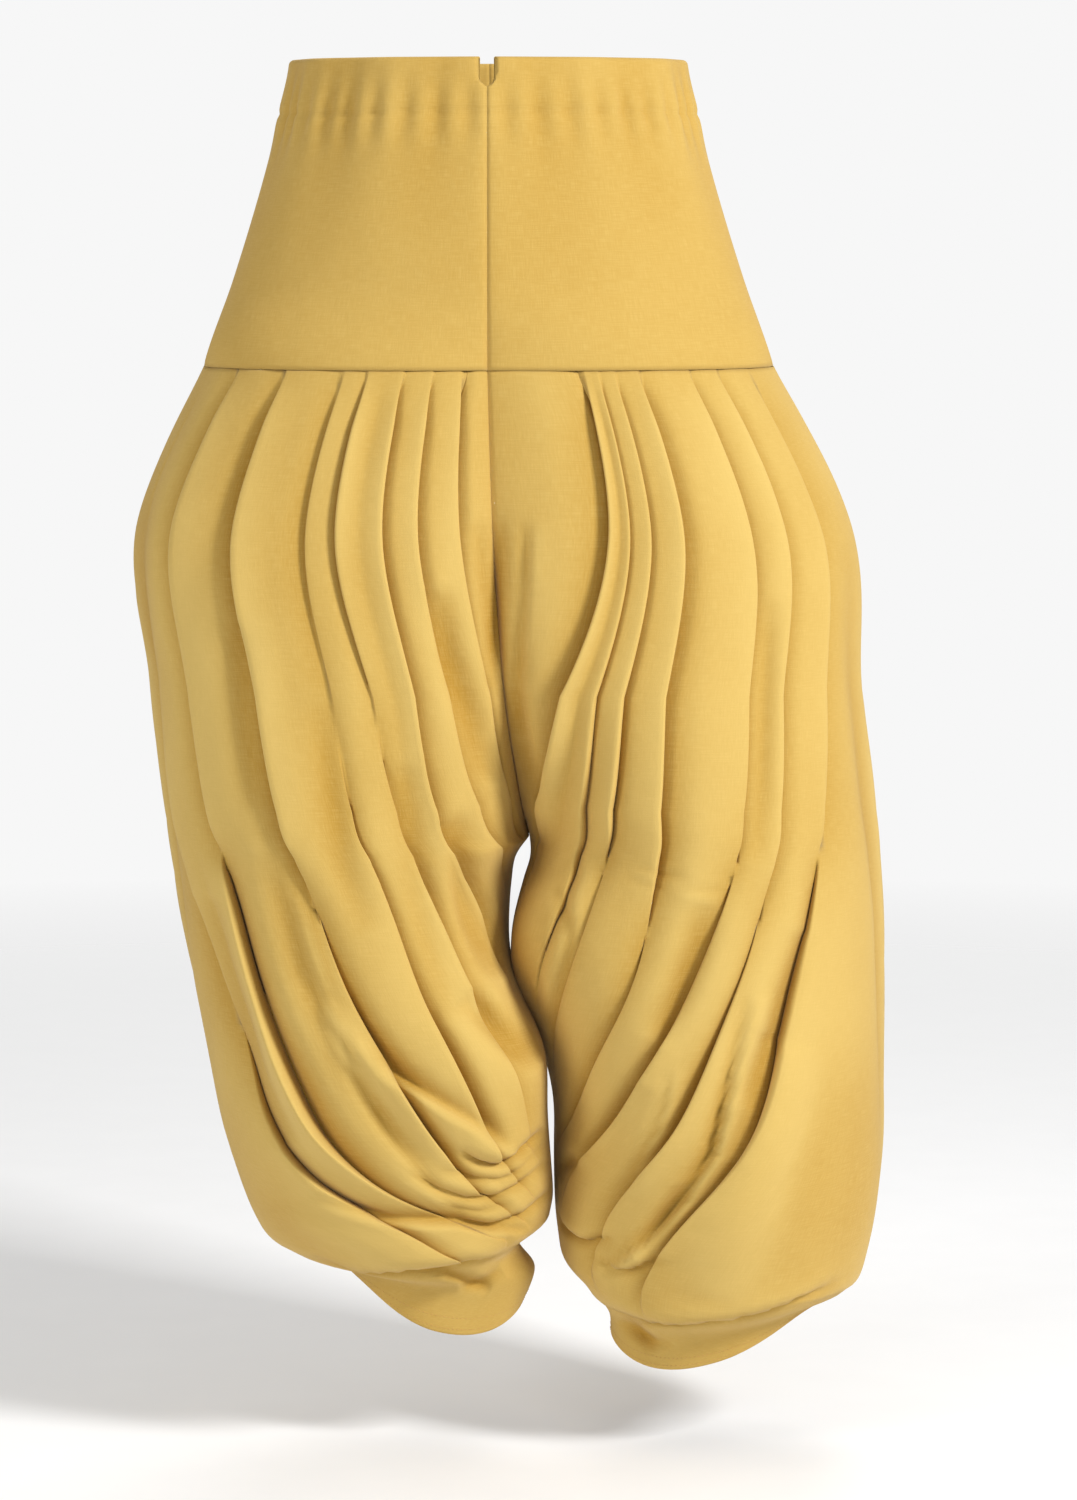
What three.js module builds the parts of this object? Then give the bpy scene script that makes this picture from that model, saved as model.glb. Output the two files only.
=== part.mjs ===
// Patiala salwar in its worn, filled-out drape.
// Millimetres, +Z up, the front faces -Y. Left and right are as worn: the left leg is on +X.
// The origin is the centre of the waist, at the top edge of the belt.

import * as THREE from 'three';

// Cloth and seams
const WALL = 1.2;
const SEAM_GAP = 0.3;
const CLOTH_COLOUR = 0xd8b262;
const CLOTH_ROUGHNESS = 0.92;

// Belt: a fitted yoke with a turned-over drawstring casing on top
const BELT_HEIGHT = 230;
const WAIST_HALF_WIDTH = 150;
const WAIST_HALF_DEPTH = 108;
const CASING_HEIGHT = 40;
const CASING_ROOM = 4.4;
const SLIT_HALF_WIDTH = 6;
const GATHERS_PER_HALF = 6;
const GATHER_DEPTH = 3;
const BELT_COLUMNS = 24;
const BELT_FLARE = 1.25;
const CASING_ROUNDING = 3;
const ROUNDING_STEPS = 4;
const BELT_ROWS = 4;
const FULLNESS_ENDS = 0.8;
const FULLNESS_STARTS = 0.15;

// Pleats
const FOLD_HALF_WIDTH = 1.5;
const LAP = 2.5;
const LAP_AT_STEP = 10;
const SEAM_UNDER_LAP = 2.5;
const ROOM_FOR_LAP = 12;
const STEP_SHARE = 1.25;
const LEAST_TURN = 0.05;
// Easing of the fold lines: how many sections away, and the share taken from there
const EASING = [[-1, 0.15], [-0.5, 0.2], [0, 0.3], [0.5, 0.2], [1, 0.15]];
const ROOM_BESIDE_STEP = 8;
const ROOM_PER_STEP = 1.8;
const CALM_FROM = 0.96;
const CALM_TO = 0.62;
const CALM_RISE = 90;
const NUDGE = 0.01;
const TUCK_SHARPNESS = 4;
const ROWS_AFTER = [3, 3, 2, 2, 2, 2, 2, 2, 3, 2, 2, 1, 1, 1, 1];

// Sections of a leg from the belt to the hem.
// The four heights are at the outer, inner, front and back of the section. The outer and inner
// columns are distances from the middle plane towards the leg's own side. Front and back are
// depths. Rise is how far the seam edge lies from the middle of the depth above the crotch, lean
// is the shift in Y of the inner end, and turn is how far the inseam turns to the back, in degrees.
// Tuck draws the inner end in towards the leg's own side, or lets it swell where it is below zero,
// and sway lowers the inner front and back and lifts the outer ones.
const SECTION_COLUMNS = [
  'name', 'zOuter', 'zInner', 'zFront', 'zBack', 'outer', 'inner', 'front', 'back',
  'rise', 'lean', 'turn', 'tuck', 'sway',
];

// The crotch's row, and the columns that give the seam between the legs above it.
const CROTCH = 4;
const SEAM_COLUMNS = ['zInner', 'inner', 'rise', 'lean', 'turn', 'tuck'];

const RIGHT_SECTIONS = [
  ['belt', -230.3, -230.3, -230.3, -230.3, 216, 0, 112, 106, 106, 0, 0, 0, 0],
  ['hip', -353, -353, -353, -353, 270, -4, 132, 126, 108, 0, 0, 0, 0],
  ['thigh', -470, -470, -470, -470, 258, -12, 146, 134, 96, 0, 0, 0, 0],
  ['seat', -555, -555, -555, -555, 249, -24, 151, 136, 52, 0, 0, 0, 0],
  ['crotch', -590, -590, -590, -590, 245, -31, 152, 136, 0, 0, 0, 0, 0],
  ['gap', -612, -612, -612, -612, 242, -30, 151, 135, 0, 4, 8, 13, 0],
  ['upper', -642, -642, -642, -642, 238, -28, 150, 134, 0, 14, 18, 12, 0],
  ['knee', -695, -695, -695, -695, 230, -26, 148, 131, 0, -30, 30, 14, 0],
  ['calf', -740, -740, -740, -740, 220, -36, 146, 128, 0, -58, 35, -3, 0],
  ['shin', -790, -790, -795, -790, 210, -43, 140, 124, 0, -50, 35, -2, 0],
  ['ankle', -850, -846, -860, -850, 195, -47, 128, 114, 0, -40, 32, -2, 0],
  ['bag', -893, -880, -896, -890, 178, -48, 110, 102, 0, -32, 28, 0, 0],
  ['roll', -914, -904, -918, -914, 150, -22, 96, 90, 0, -26, 22, 0, 3],
  ['cuff', -921, -918, -932, -926, 118, -20, 72, 70, 0, -22, 16, 0, 6],
  ['hem', -930, -946, -966, -957, 108, -32, 64, 66, 0, -20, 12, 0, 10],
];

const LEFT_SECTIONS = [
  ['belt', -230.3, -230.3, -230.3, -230.3, 216, 0, 112, 106, 106, 0, 0, 0, 0],
  ['hip', -353, -353, -353, -353, 276, 4, 132, 126, 108, 0, 0, 0, 0],
  ['thigh', -470, -470, -470, -470, 285, 12, 146, 134, 96, 0, 0, 0, 0],
  ['seat', -555, -555, -555, -555, 292, 24, 151, 136, 52, 0, 0, 0, 0],
  ['crotch', -590, -590, -590, -590, 295, 31, 152, 136, 0, 0, 0, 0, 0],
  ['gap', -612, -612, -612, -612, 296, 32, 152, 136, 0, -14, 5, 0, 0],
  ['upper', -642, -642, -642, -642, 298, 31, 152, 136, 0, -38, 14, -14, 0],
  ['knee', -695, -695, -695, -695, 300, 31, 150, 134, 0, -26, 24, -17, 0],
  ['calf', -740, -740, -740, -740, 301, 40, 149, 130, 0, 4, 30, -2, 0],
  ['shin', -790, -790, -795, -790, 302, 50, 146, 126, 0, 0, 34, 0, 0],
  ['ankle', -855, -850, -862, -852, 301, 52, 138, 120, 0, -6, 38, -2, 0],
  ['bag', -922, -908, -926, -920, 290, 53, 120, 108, 0, -14, 34, 0, 0],
  ['roll', -944, -936, -950, -942, 276, 74, 104, 96, 0, -18, 26, 0, 4],
  ['cuff', -951, -957, -966, -958, 262, 92, 80, 78, 0, -20, 18, 0, 8],
  ['hem', -957, -975, -988, -980, 256, 94, 72, 74, 0, -20, 12, 0, 14],
];

// Pleats. Places are a share of the half round, in percent, from the inner seam to the outer side,
// one for each section. Steps are in millimetres at the step stations: above zero, the strip on
// the outer side lies on top, and below zero, the strip on the inner side does. Creases is the
// share of the common crease depth, and strips is how many columns the strip after it has.
const STEP_STATIONS = [0, 1, 3, 5, 7, 9, 10, 11.6];
const CREASE_DEPTH = [3, 5, 6, 7, 7, 6, 3, 0];
const PLEAT_COLUMNS = ['name', 'place', 'step', 'crease', 'strips'];

const RIGHT_FRONT_PLEATS = [
  ['g', [6, 8, 6, 6, 8, 6, 5, 5, 6, 6, 5, 5, 6, 8, 10], [4, 6, 6, 4, 2, 1, 1, 0], 1, 1],
  ['f', [13, 17, 15, 17, 20, 14, 12, 11, 11, 11, 10, 10, 12, 16, 20], [5, 7, 8, 6, 4, 1, 1, 0], 1, 1],
  ['e', [20, 24, 22, 26, 31, 29, 26, 21, 17, 17, 16, 15, 18, 24, 30], [5, 7, 9, 10, 11, 7, 2, 0], 1, 1],
  ['d', [29, 33, 31, 32, 37, 38, 40, 35, 32, 29, 24, 20, 24, 33, 40], [-5, -6, 4, 9, 12, 9, 3, 0], 1, 1],
  ['c', [35, 39, 39, 41, 46, 45, 47, 45, 44, 40, 32, 26, 31, 42, 50], [-3, -3, 2, 6, 8, 11, 4, 0], 1, 2],
  ['b', [51, 54, 54, 56, 59, 58, 59, 57, 56, 49, 41, 34, 38, 52, 60], [-6, -8, -7, -3, 6, 11, 4, 0], 1, 2],
  ['a', [68, 70, 71, 73, 74, 74, 75, 73, 72, 67, 53, 43, 47, 62, 72], [-6, -8, -6, 6, 10, 14, 6, 0], 1, 1],
  ['x', [86, 87, 87, 87, 87, 85, 83, 81, 81, 78, 74, 50, 60, 78, 86], [0, 0, -4, -4, -3, 3, 3, 0], 0.5, 3],
];

const LEFT_FRONT_PLEATS = [
  ['a', [23, 26, 18, 10, 8, 4, 8, 12, 12, 11, 4, 3, 4, 6, 8], [5, 8, 13, 13, 12, 6, 2, 0], 1, 1],
  ['b', [27, 30, 24, 20, 21, 22, 27, 26, 18, 16, 8, 6, 8, 11, 14], [-4, -5, -6, -5, -3, 3, 1, 0], 1, 1],
  ['c', [31, 34, 29, 27, 28, 29, 33, 33, 24, 21, 12, 9, 12, 17, 22], [-4, -5, -6, 2, 4, 4, 2, 0], 1, 1],
  ['d', [37, 40, 37, 36, 40, 41, 44, 45, 38, 30, 17, 12, 17, 24, 31], [-5, -6, -6, -5, 4, 6, 3, 0], 1, 2],
  ['e', [51, 54, 54, 53, 55, 55, 56, 53, 46, 37, 20, 16, 24, 34, 42], [-5, -7, -4, 2, 7, 8, 4, 0], 1, 1],
  ['f', [60, 63, 61, 61, 62, 62, 63, 60, 54, 46, 34, 24, 31, 46, 54], [-5, -7, -6, -3, 5, 11, 4, 0], 1, 2],
  ['g', [73, 75, 74, 73, 72, 72, 72, 70, 66, 62, 54, 40, 43, 58, 68], [-2, -3, -3, 3, 9, 15, 8, 0], 1, 4],
];

const BACK_PLEATS = [
  ['t', [75, 77, 78, 78, 80, 78, 76, 73, 70, 66, 60, 54, 62, 74, 80], [-5, -6, -3, 4, 7, 9, 5, 0], 1, 1],
  ['s', [60, 62, 63, 63, 66, 64, 61, 56, 52, 48, 43, 40, 46, 56, 62], [-5, -6, -5, -4, 6, 8, 4, 0], 1, 1],
  ['r', [45, 47, 48, 48, 53, 50, 46, 41, 37, 33, 31, 30, 34, 42, 46], [-4, -5, 3, 4, 5, 7, 3, 0], 1, 1],
  ['q', [30, 32, 32, 32, 38, 35, 31, 26, 23, 21, 20, 20, 23, 28, 30], [4, 5, 5, 5, 5, 5, 2, 0], 1, 1],
  ['p', [14, 16, 16, 16, 23, 20, 17, 14, 12, 11, 11, 11, 12, 14, 14], [5, 6, 5, 4, 4, 3, 1, 0], 1, 1],
];

// Rows of a table as objects with named columns.
function named(columns, rows) {
  return rows.map((row) => Object.fromEntries(columns.map((column, i) => [column, row[i]])));
}

// Smooth value at place t in a list, where whole numbers are the list's own values.
// At a corner, the values on one side have no say in the curve on the other.
function smoothAt(values, t, corner = -1) {
  const last = values.length - 1;
  const i = Math.min(Math.floor(t), last - 1);
  const f = t - i;
  const p1 = values[i];
  const p2 = values[i + 1];
  const p0 = i > 0 && i !== corner ? values[i - 1] : p1;
  const p3 = i + 2 <= last && i + 1 !== corner ? values[i + 2] : p2;
  const slope1 = (p2 - p0) / 2;
  const slope2 = (p3 - p1) / 2;
  const f2 = f * f;
  const f3 = f2 * f;
  return (2 * f3 - 3 * f2 + 1) * p1 + (f3 - 2 * f2 + f) * slope1
    + (3 * f2 - 2 * f3) * p2 + (f3 - f2) * slope2;
}

// Straight-line value at section place t in a list kept at the step stations.
function stepAt(values, t) {
  let i = 0;
  while (i < STEP_STATIONS.length - 2 && t > STEP_STATIONS[i + 1]) {
    i += 1;
  }
  const f = (t - STEP_STATIONS[i]) / (STEP_STATIONS[i + 1] - STEP_STATIONS[i]);
  return values[i] + (values[i + 1] - values[i]) * Math.min(1, Math.max(0, f));
}

// The section at place t between the table's rows, with its arcs worked out.
function sectionAt(sections, t) {
  const section = {};
  for (const column of SECTION_COLUMNS.slice(1)) {
    const corner = SEAM_COLUMNS.includes(column) ? CROTCH : -1;
    section[column] = smoothAt(sections.map((row) => row[column]), t, corner);
  }
  const rise = Math.max(0, section.rise);
  const turn = THREE.MathUtils.degToRad(Math.max(0, section.turn));
  const openFront = Math.asin(Math.min(1, rise / section.front));
  const openBack = Math.asin(Math.min(1, rise / section.back));
  section.halfFront = (section.outer - section.inner) / (1 + Math.cos(openFront));
  section.halfBack = (section.outer - section.inner) / (1 + Math.cos(openBack));
  section.startFront = openFront - turn;
  section.startBack = openBack + turn;
  return section;
}

// Point of a section at an angle: 0 inner end, a quarter turn front, half a turn outer side.
function ringPoint(section, side, angle) {
  const sin = Math.sin(angle);
  const cos = Math.cos(angle);
  const half = angle <= Math.PI ? section.halfFront : section.halfBack;
  const depth = sin > 0 ? section.front : section.back;
  const inward = Math.max(0, cos);
  const across = section.outer - half * (1 + cos) + section.tuck * inward ** TUCK_SHARPNESS;
  const y = section.lean * inward ** 2 - depth * sin;
  const zSide = cos > 0 ? section.zInner : section.zOuter;
  const zFace = sin > 0 ? section.zFront : section.zBack;
  const z = zSide * cos * cos + zFace * sin * sin - 2 * section.sway * cos * Math.abs(sin);
  return new THREE.Vector3(side * across, y, z);
}

// Outward direction in plan and millimetres for each radian at an angle of a section.
function ringFrame(section, side, angle) {
  const before = ringPoint(section, side, angle - NUDGE);
  const after = ringPoint(section, side, angle + NUDGE);
  const run = after.sub(before).setZ(0);
  const pace = run.length() / (2 * NUDGE);
  run.normalize();
  const outward = new THREE.Vector3(side * run.y, -side * run.x, 0);
  return { outward, pace };
}

// How freely pleats stand off a section: not at all where the legs press on each other.
function liveliness(section, angle) {
  const closed = 1 - Math.min(1, Math.max(0, section.rise) / CALM_RISE);
  return 1 - closed * THREE.MathUtils.smoothstep(Math.cos(angle), CALM_TO, CALM_FROM);
}

// Angles of one leg's pleats in order round it at a section.
function anglesAt(leg, section, t) {
  const front = leg.front.map((pleat) => {
    const share = smoothAt(pleat.place, t) / 100;
    return section.startFront + share * (Math.PI - section.startFront);
  });
  const back = leg.back.map((pleat) => {
    const share = smoothAt(pleat.place, t) / 100;
    return 2 * Math.PI - (section.startBack + share * (Math.PI - section.startBack));
  });
  return [...front, ...back];
}

// Pleats of one leg in order round it, each with its angle and its step along the way round.
// The angles are eased along the leg, and stay clear of each other and of the inseam.
function pleatsAt(leg, section, t) {
  const eased = anglesAt(leg, section, t).map(() => 0);
  for (const [away, share] of EASING) {
    const there = Math.min(leg.sections.length - 1, Math.max(0, t + away));
    anglesAt(leg, sectionAt(leg.sections, there), there).forEach((angle, i) => {
      eased[i] += angle * share;
    });
  }
  const pleats = [...leg.front, ...leg.back].map((pleat, i) => {
    const way = i < leg.front.length ? 1 : -1;
    return { ...pleat, angle: eased[i], rise: way * stepAt(pleat.step, t) * STEP_SHARE };
  });
  let least = section.startFront + LEAST_TURN;
  for (const pleat of pleats) {
    pleat.angle = Math.max(least, pleat.angle);
    least = pleat.angle + LEAST_TURN;
  }
  const first = section.startFront;
  const last = 2 * Math.PI - section.startBack;
  pleats.forEach((pleat, i) => {
    const before = i > 0 ? pleats[i - 1].angle : first;
    const after = i < pleats.length - 1 ? pleats[i + 1].angle : last;
    const { pace } = ringFrame(section, leg.side, pleat.angle);
    const room = Math.min(pleat.angle - before, after - pleat.angle) * pace;
    const width = Math.min(1, room / ROOM_FOR_LAP);
    const wanted = ROOM_BESIDE_STEP + ROOM_PER_STEP * Math.abs(pleat.rise);
    const share = Math.min(1, room / wanted) * liveliness(section, pleat.angle);
    const rise = pleat.rise * share;
    const reach = (LAP + FOLD_HALF_WIDTH) * width;
    const up = Math.min(1, Math.max(0, rise / LAP_AT_STEP));
    const down = Math.min(1, Math.max(0, -rise / LAP_AT_STEP));
    pleat.rise = rise;
    pleat.crease *= stepAt(CREASE_DEPTH, t) * share;
    pleat.firstAngle = pleat.angle + (reach * up - FOLD_HALF_WIDTH * width) / pace;
    pleat.secondAngle = pleat.angle - (reach * down - FOLD_HALF_WIDTH * width) / pace;
    pleat.seamShift = SEAM_UNDER_LAP * width / pace;
  });
  return pleats;
}

// Columns round one leg at a section: an angle and a height off the section for each.
// A seam column stands twice, once for each piece that it joins.
function columnsAt(leg, t) {
  const section = sectionAt(leg.sections, t);
  const pleats = pleatsAt(leg, section, t);
  const columns = [];
  const add = (angle, height, seam = 0) => columns.push({ angle, height, seam });
  const strip = (from, to, count) => {
    for (let i = 1; i <= count; i += 1) {
      const f = i / (count + 1);
      const near = Math.max(0, 1 - 2 * f);
      const far = Math.max(0, 2 * f - 1);
      const height = from.rise / 2 * near - to.rise / 2 * far
        - from.crease * near * near - to.crease * far * far;
      add(from.angle + (to.angle - from.angle) * f, height);
    }
  };
  const start = { angle: section.startFront, rise: 0, crease: 0 };
  const end = { angle: 2 * Math.PI - section.startBack, rise: 0, crease: 0 };
  add(start.angle, 0, 1);
  let from = start;
  let count = leg.gussetColumns;
  pleats.forEach((pleat, i) => {
    const first = { angle: pleat.firstAngle, rise: pleat.rise, crease: pleat.crease };
    const second = { angle: pleat.secondAngle, rise: pleat.rise, crease: pleat.crease };
    const low = -pleat.rise / 2 - pleat.crease;
    const high = pleat.rise / 2 - pleat.crease;
    if (i === 0) {
      const seam = { ...first, angle: first.angle - pleat.seamShift };
      strip(from, seam, count);
      add(seam.angle, low, -1);
      add(seam.angle, low, 1);
    } else {
      strip(from, first, count);
    }
    add(first.angle, low);
    add(second.angle, high);
    from = second;
    count = pleat.strips;
    if (i === pleats.length - 1) {
      const seam = { ...second, angle: second.angle + pleat.seamShift };
      add(seam.angle, high, -1);
      add(seam.angle, high, 1);
      from = seam;
      count = leg.gussetColumns;
    }
  });
  strip(from, end, count);
  add(end.angle, 0, -1);
  return { section, columns };
}

// Outer points of a whole leg as rows of columns, with half of each seam's gap taken off.
function legGrid(leg) {
  const places = [];
  ROWS_AFTER.forEach((rows, i) => {
    const count = i === ROWS_AFTER.length - 1 ? 1 : rows;
    for (let k = 0; k < count; k += 1) {
      places.push(i + k / count);
    }
  });
  return places.map((t) => {
    const { section, columns } = columnsAt(leg, t);
    const points = columns.map(({ angle, height }) => {
      const { outward } = ringFrame(section, leg.side, angle);
      return ringPoint(section, leg.side, angle).addScaledVector(outward, height);
    });
    const last = points.length - 1;
    return points.map((point, i) => {
      const { seam } = columns[i];
      const moved = point.clone();
      if (seam !== 0) {
        const neighbour = points[seam > 0 ? i + 1 : i - 1];
        const along = neighbour.clone().sub(point).normalize();
        moved.addScaledVector(along, SEAM_GAP / 2);
      }
      if (i === 0 || i === last) {
        moved.x += leg.side * SEAM_GAP / 2;
        moved.y += (i === 0 ? -1 : 1) * SEAM_GAP / 4;
      }
      return moved;
    });
  });
}

// Unit direction along a line of points at one of them, over the twin point of a seam.
function directionAt(line, i, closed) {
  const here = line[i];
  const direction = new THREE.Vector3();
  for (const way of [-1, 1]) {
    let j = i + way;
    if (line[j] && line[j].distanceTo(here) < SEAM_GAP * 2) {
      j += way;
    }
    if (closed && !line[j]) {
      j = way < 0 ? line.length - 2 : 1;
    }
    if (line[j]) {
      direction.add(line[j].clone().sub(here).normalize().multiplyScalar(way));
    }
  }
  return direction.normalize();
}

// Inner points of a wall: each outer point moved in by the wall along the grid's normal.
// The first and last rows move in level, so that the cut edges stay flat, and square ends keep
// to the middle plane.
function innerGrid(grid, side, squareEnds = false) {
  return grid.map((row, r) => row.map((point, c) => {
    const closed = row[0].distanceTo(row[row.length - 1]) < SEAM_GAP * 3;
    const round = directionAt(row, c, closed);
    const down = directionAt(grid.map((other) => other[c]), r, false);
    const normal = down.cross(round).multiplyScalar(side);
    if (r === 0 || r === grid.length - 1) {
      normal.z = 0;
    }
    if (squareEnds && (c === 0 || c === row.length - 1)) {
      normal.x = 0;
    }
    normal.normalize();
    return point.clone().addScaledVector(normal, -WALL);
  }));
}

// A closed wall between an outer and an inner grid.
function wallMesh(name, outer, inner, side) {
  const rows = outer.length;
  const columns = outer[0].length;
  const positions = [];
  for (const grid of [outer, inner]) {
    for (const row of grid) {
      for (const point of row) {
        positions.push(point.x, point.y, point.z);
      }
    }
  }
  const index = [];
  const at = (layer, r, c) => layer * rows * columns + r * columns + c;
  const quad = (a, b, c, d) => {
    if (side > 0) {
      index.push(a, c, b, a, d, c);
    } else {
      index.push(a, b, c, a, c, d);
    }
  };
  for (let r = 0; r < rows - 1; r += 1) {
    for (let c = 0; c < columns - 1; c += 1) {
      quad(at(0, r, c), at(0, r, c + 1), at(0, r + 1, c + 1), at(0, r + 1, c));
      quad(at(1, r, c), at(1, r + 1, c), at(1, r + 1, c + 1), at(1, r, c + 1));
    }
    const end = columns - 1;
    quad(at(0, r, 0), at(0, r + 1, 0), at(1, r + 1, 0), at(1, r, 0));
    quad(at(0, r, end), at(1, r, end), at(1, r + 1, end), at(0, r + 1, end));
  }
  for (let c = 0; c < columns - 1; c += 1) {
    const end = rows - 1;
    quad(at(0, 0, c), at(1, 0, c), at(1, 0, c + 1), at(0, 0, c + 1));
    quad(at(0, end, c), at(0, end, c + 1), at(1, end, c + 1), at(1, end, c));
  }
  const geometry = new THREE.BufferGeometry();
  geometry.setAttribute('position', new THREE.Float32BufferAttribute(positions, 3));
  geometry.setIndex(index);
  geometry.computeVertexNormals();
  const material = new THREE.MeshStandardMaterial({
    color: CLOTH_COLOUR,
    roughness: CLOTH_ROUGHNESS,
    metalness: 0,
    side: THREE.DoubleSide,
  });
  const mesh = new THREE.Mesh(geometry, material);
  mesh.name = name;
  return mesh;
}

// Front gusset, leg panel and back gusset of one leg, cut from its grid at the seams.
function legPieces(leg) {
  const outer = legGrid(leg);
  const inner = innerGrid(outer, leg.side);
  const { columns } = columnsAt(leg, 0);
  const starts = [];
  const ends = [];
  columns.forEach(({ seam }, i) => {
    if (seam > 0) {
      starts.push(i);
    } else if (seam < 0) {
      ends.push(i);
    }
  });
  const names = [`gusset_front_${leg.name}`, `leg_panel_${leg.name}`, `gusset_back_${leg.name}`];
  return names.map((name, i) => {
    const cut = (grid) => grid.map((row) => row.slice(starts[i], ends[i] + 1));
    return wallMesh(name, cut(outer), cut(inner), leg.side);
  });
}

// Places down the belt: inset from the outer face and height, over the top and into the casing.
function beltProfile() {
  const inside = CASING_ROOM + WALL;
  const places = [];
  for (let i = 0; i < BELT_ROWS; i += 1) {
    const z = -BELT_HEIGHT + (BELT_HEIGHT - CASING_HEIGHT) * i / BELT_ROWS;
    places.push({ inset: 0, z });
  }
  places.push({ inset: 0, z: -CASING_HEIGHT });
  places.push({ inset: 0, z: -CASING_HEIGHT / 2 });
  for (let i = 0; i <= ROUNDING_STEPS; i += 1) {
    const turn = Math.PI * i / ROUNDING_STEPS;
    const inset = inside * (1 - Math.cos(turn)) / 2;
    places.push({ inset, z: CASING_ROUNDING * (Math.sin(turn) - 1) });
  }
  places.push({ inset: inside, z: -CASING_HEIGHT });
  return places;
}

// One half of the belt, from the centre-front seam round the side to the centre-back seam.
function beltHalf(leg) {
  const bottom = sectionAt(leg.sections, 0);
  const grid = beltProfile().map(({ inset, z }) => {
    const down = -z / BELT_HEIGHT;
    const spread = down ** BELT_FLARE;
    const fullness = 1 - THREE.MathUtils.smoothstep(down, FULLNESS_STARTS, FULLNESS_ENDS);
    const width = WAIST_HALF_WIDTH + (bottom.outer - WAIST_HALF_WIDTH) * spread;
    const points = [];
    for (let c = 0; c < BELT_COLUMNS; c += 1) {
      const share = c / (BELT_COLUMNS - 1);
      const angle = Math.PI / 2 + Math.PI * share;
      const lowest = Math.sin(angle) > 0 ? bottom.front : bottom.back;
      const depth = WAIST_HALF_DEPTH + (lowest - WAIST_HALF_DEPTH) * spread;
      const wave = Math.cos(2 * Math.PI * GATHERS_PER_HALF * share) - 1;
      const off = GATHER_DEPTH * fullness * wave / 2 - inset;
      const across = -Math.cos(angle) * (width + off);
      const y = -Math.sin(angle) * (depth + off);
      points.push(new THREE.Vector3(leg.side * (across + SEAM_GAP / 2), y, z));
    }
    if (z >= -CASING_HEIGHT / 2) {
      points[0].x = leg.side * SLIT_HALF_WIDTH;
    }
    return points;
  });
  grid.reverse();
  const inner = innerGrid(grid, leg.side, true);
  return wallMesh(`belt_${leg.name}`, grid, inner, leg.side);
}

const LEGS = [
  {
    name: 'right',
    side: -1,
    sections: named(SECTION_COLUMNS, RIGHT_SECTIONS),
    front: named(PLEAT_COLUMNS, RIGHT_FRONT_PLEATS),
    back: named(PLEAT_COLUMNS, BACK_PLEATS),
    gussetColumns: 2,
  },
  {
    name: 'left',
    side: 1,
    sections: named(SECTION_COLUMNS, LEFT_SECTIONS),
    front: named(PLEAT_COLUMNS, LEFT_FRONT_PLEATS),
    back: named(PLEAT_COLUMNS, BACK_PLEATS),
    gussetColumns: 3,
  },
];

const salwar = new THREE.Group();
for (const leg of LEGS) {
  salwar.add(beltHalf(leg));
  for (const piece of legPieces(leg)) {
    salwar.add(piece);
  }
}

export default salwar;
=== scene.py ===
"""Looks of a patiala salwar as worn: pleated cotton legs on a fitted belt, narrow at the hems.

Lengths in the tables are millimetres, as a maker would say them, and the meshes are metres.
The garment's right side is on -X and its front faces -Y.
"""

from __future__ import annotations

import logging
import math
from dataclasses import dataclass, field
from enum import Enum
from typing import Any, NamedTuple

import bpy
import numpy as np
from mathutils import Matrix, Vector


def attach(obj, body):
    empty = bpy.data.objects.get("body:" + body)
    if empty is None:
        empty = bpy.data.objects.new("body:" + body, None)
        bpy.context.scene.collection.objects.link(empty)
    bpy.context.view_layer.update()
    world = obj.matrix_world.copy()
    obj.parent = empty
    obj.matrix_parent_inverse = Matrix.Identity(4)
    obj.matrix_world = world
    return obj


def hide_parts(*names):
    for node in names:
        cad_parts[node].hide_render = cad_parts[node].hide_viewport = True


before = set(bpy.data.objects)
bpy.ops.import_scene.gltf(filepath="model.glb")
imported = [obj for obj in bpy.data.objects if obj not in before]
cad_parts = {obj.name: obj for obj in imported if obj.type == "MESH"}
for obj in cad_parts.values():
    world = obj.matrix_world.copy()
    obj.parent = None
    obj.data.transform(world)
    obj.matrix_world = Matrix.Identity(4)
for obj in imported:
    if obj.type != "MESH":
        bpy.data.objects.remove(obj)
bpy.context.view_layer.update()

LOG = logging.getLogger("salwar")
MM = 0.001
BODY = "root"

SEAM_GAP = 0.04
SEAM_ROLL = 1.1
SEAM_ROLL_WIDTH = 4.0
HEM_TURN = ((0.6, -0.5), (1.4, -0.1), (1.7, 4.0), (1.7, 9.0), (1.6, 14.0))
CLOTH_THICKNESS = 0.9

# Sections of a leg from the belt to the hem, as the cut gives them: four heights, the distances
# of the outer and inner ends from the middle plane, the two depths, then how the seam edge rises,
# leans, turns and tucks in, and how the section sways.
SECTION_COLUMNS = (
    "z_outer", "z_inner", "z_front", "z_back", "outer", "inner", "front", "back",
    "rise", "lean", "turn", "tuck", "sway",
)
CROTCH = 4
BAG = 11
SEAM_COLUMNS = ("z_inner", "inner", "rise", "lean", "turn", "tuck")

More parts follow.
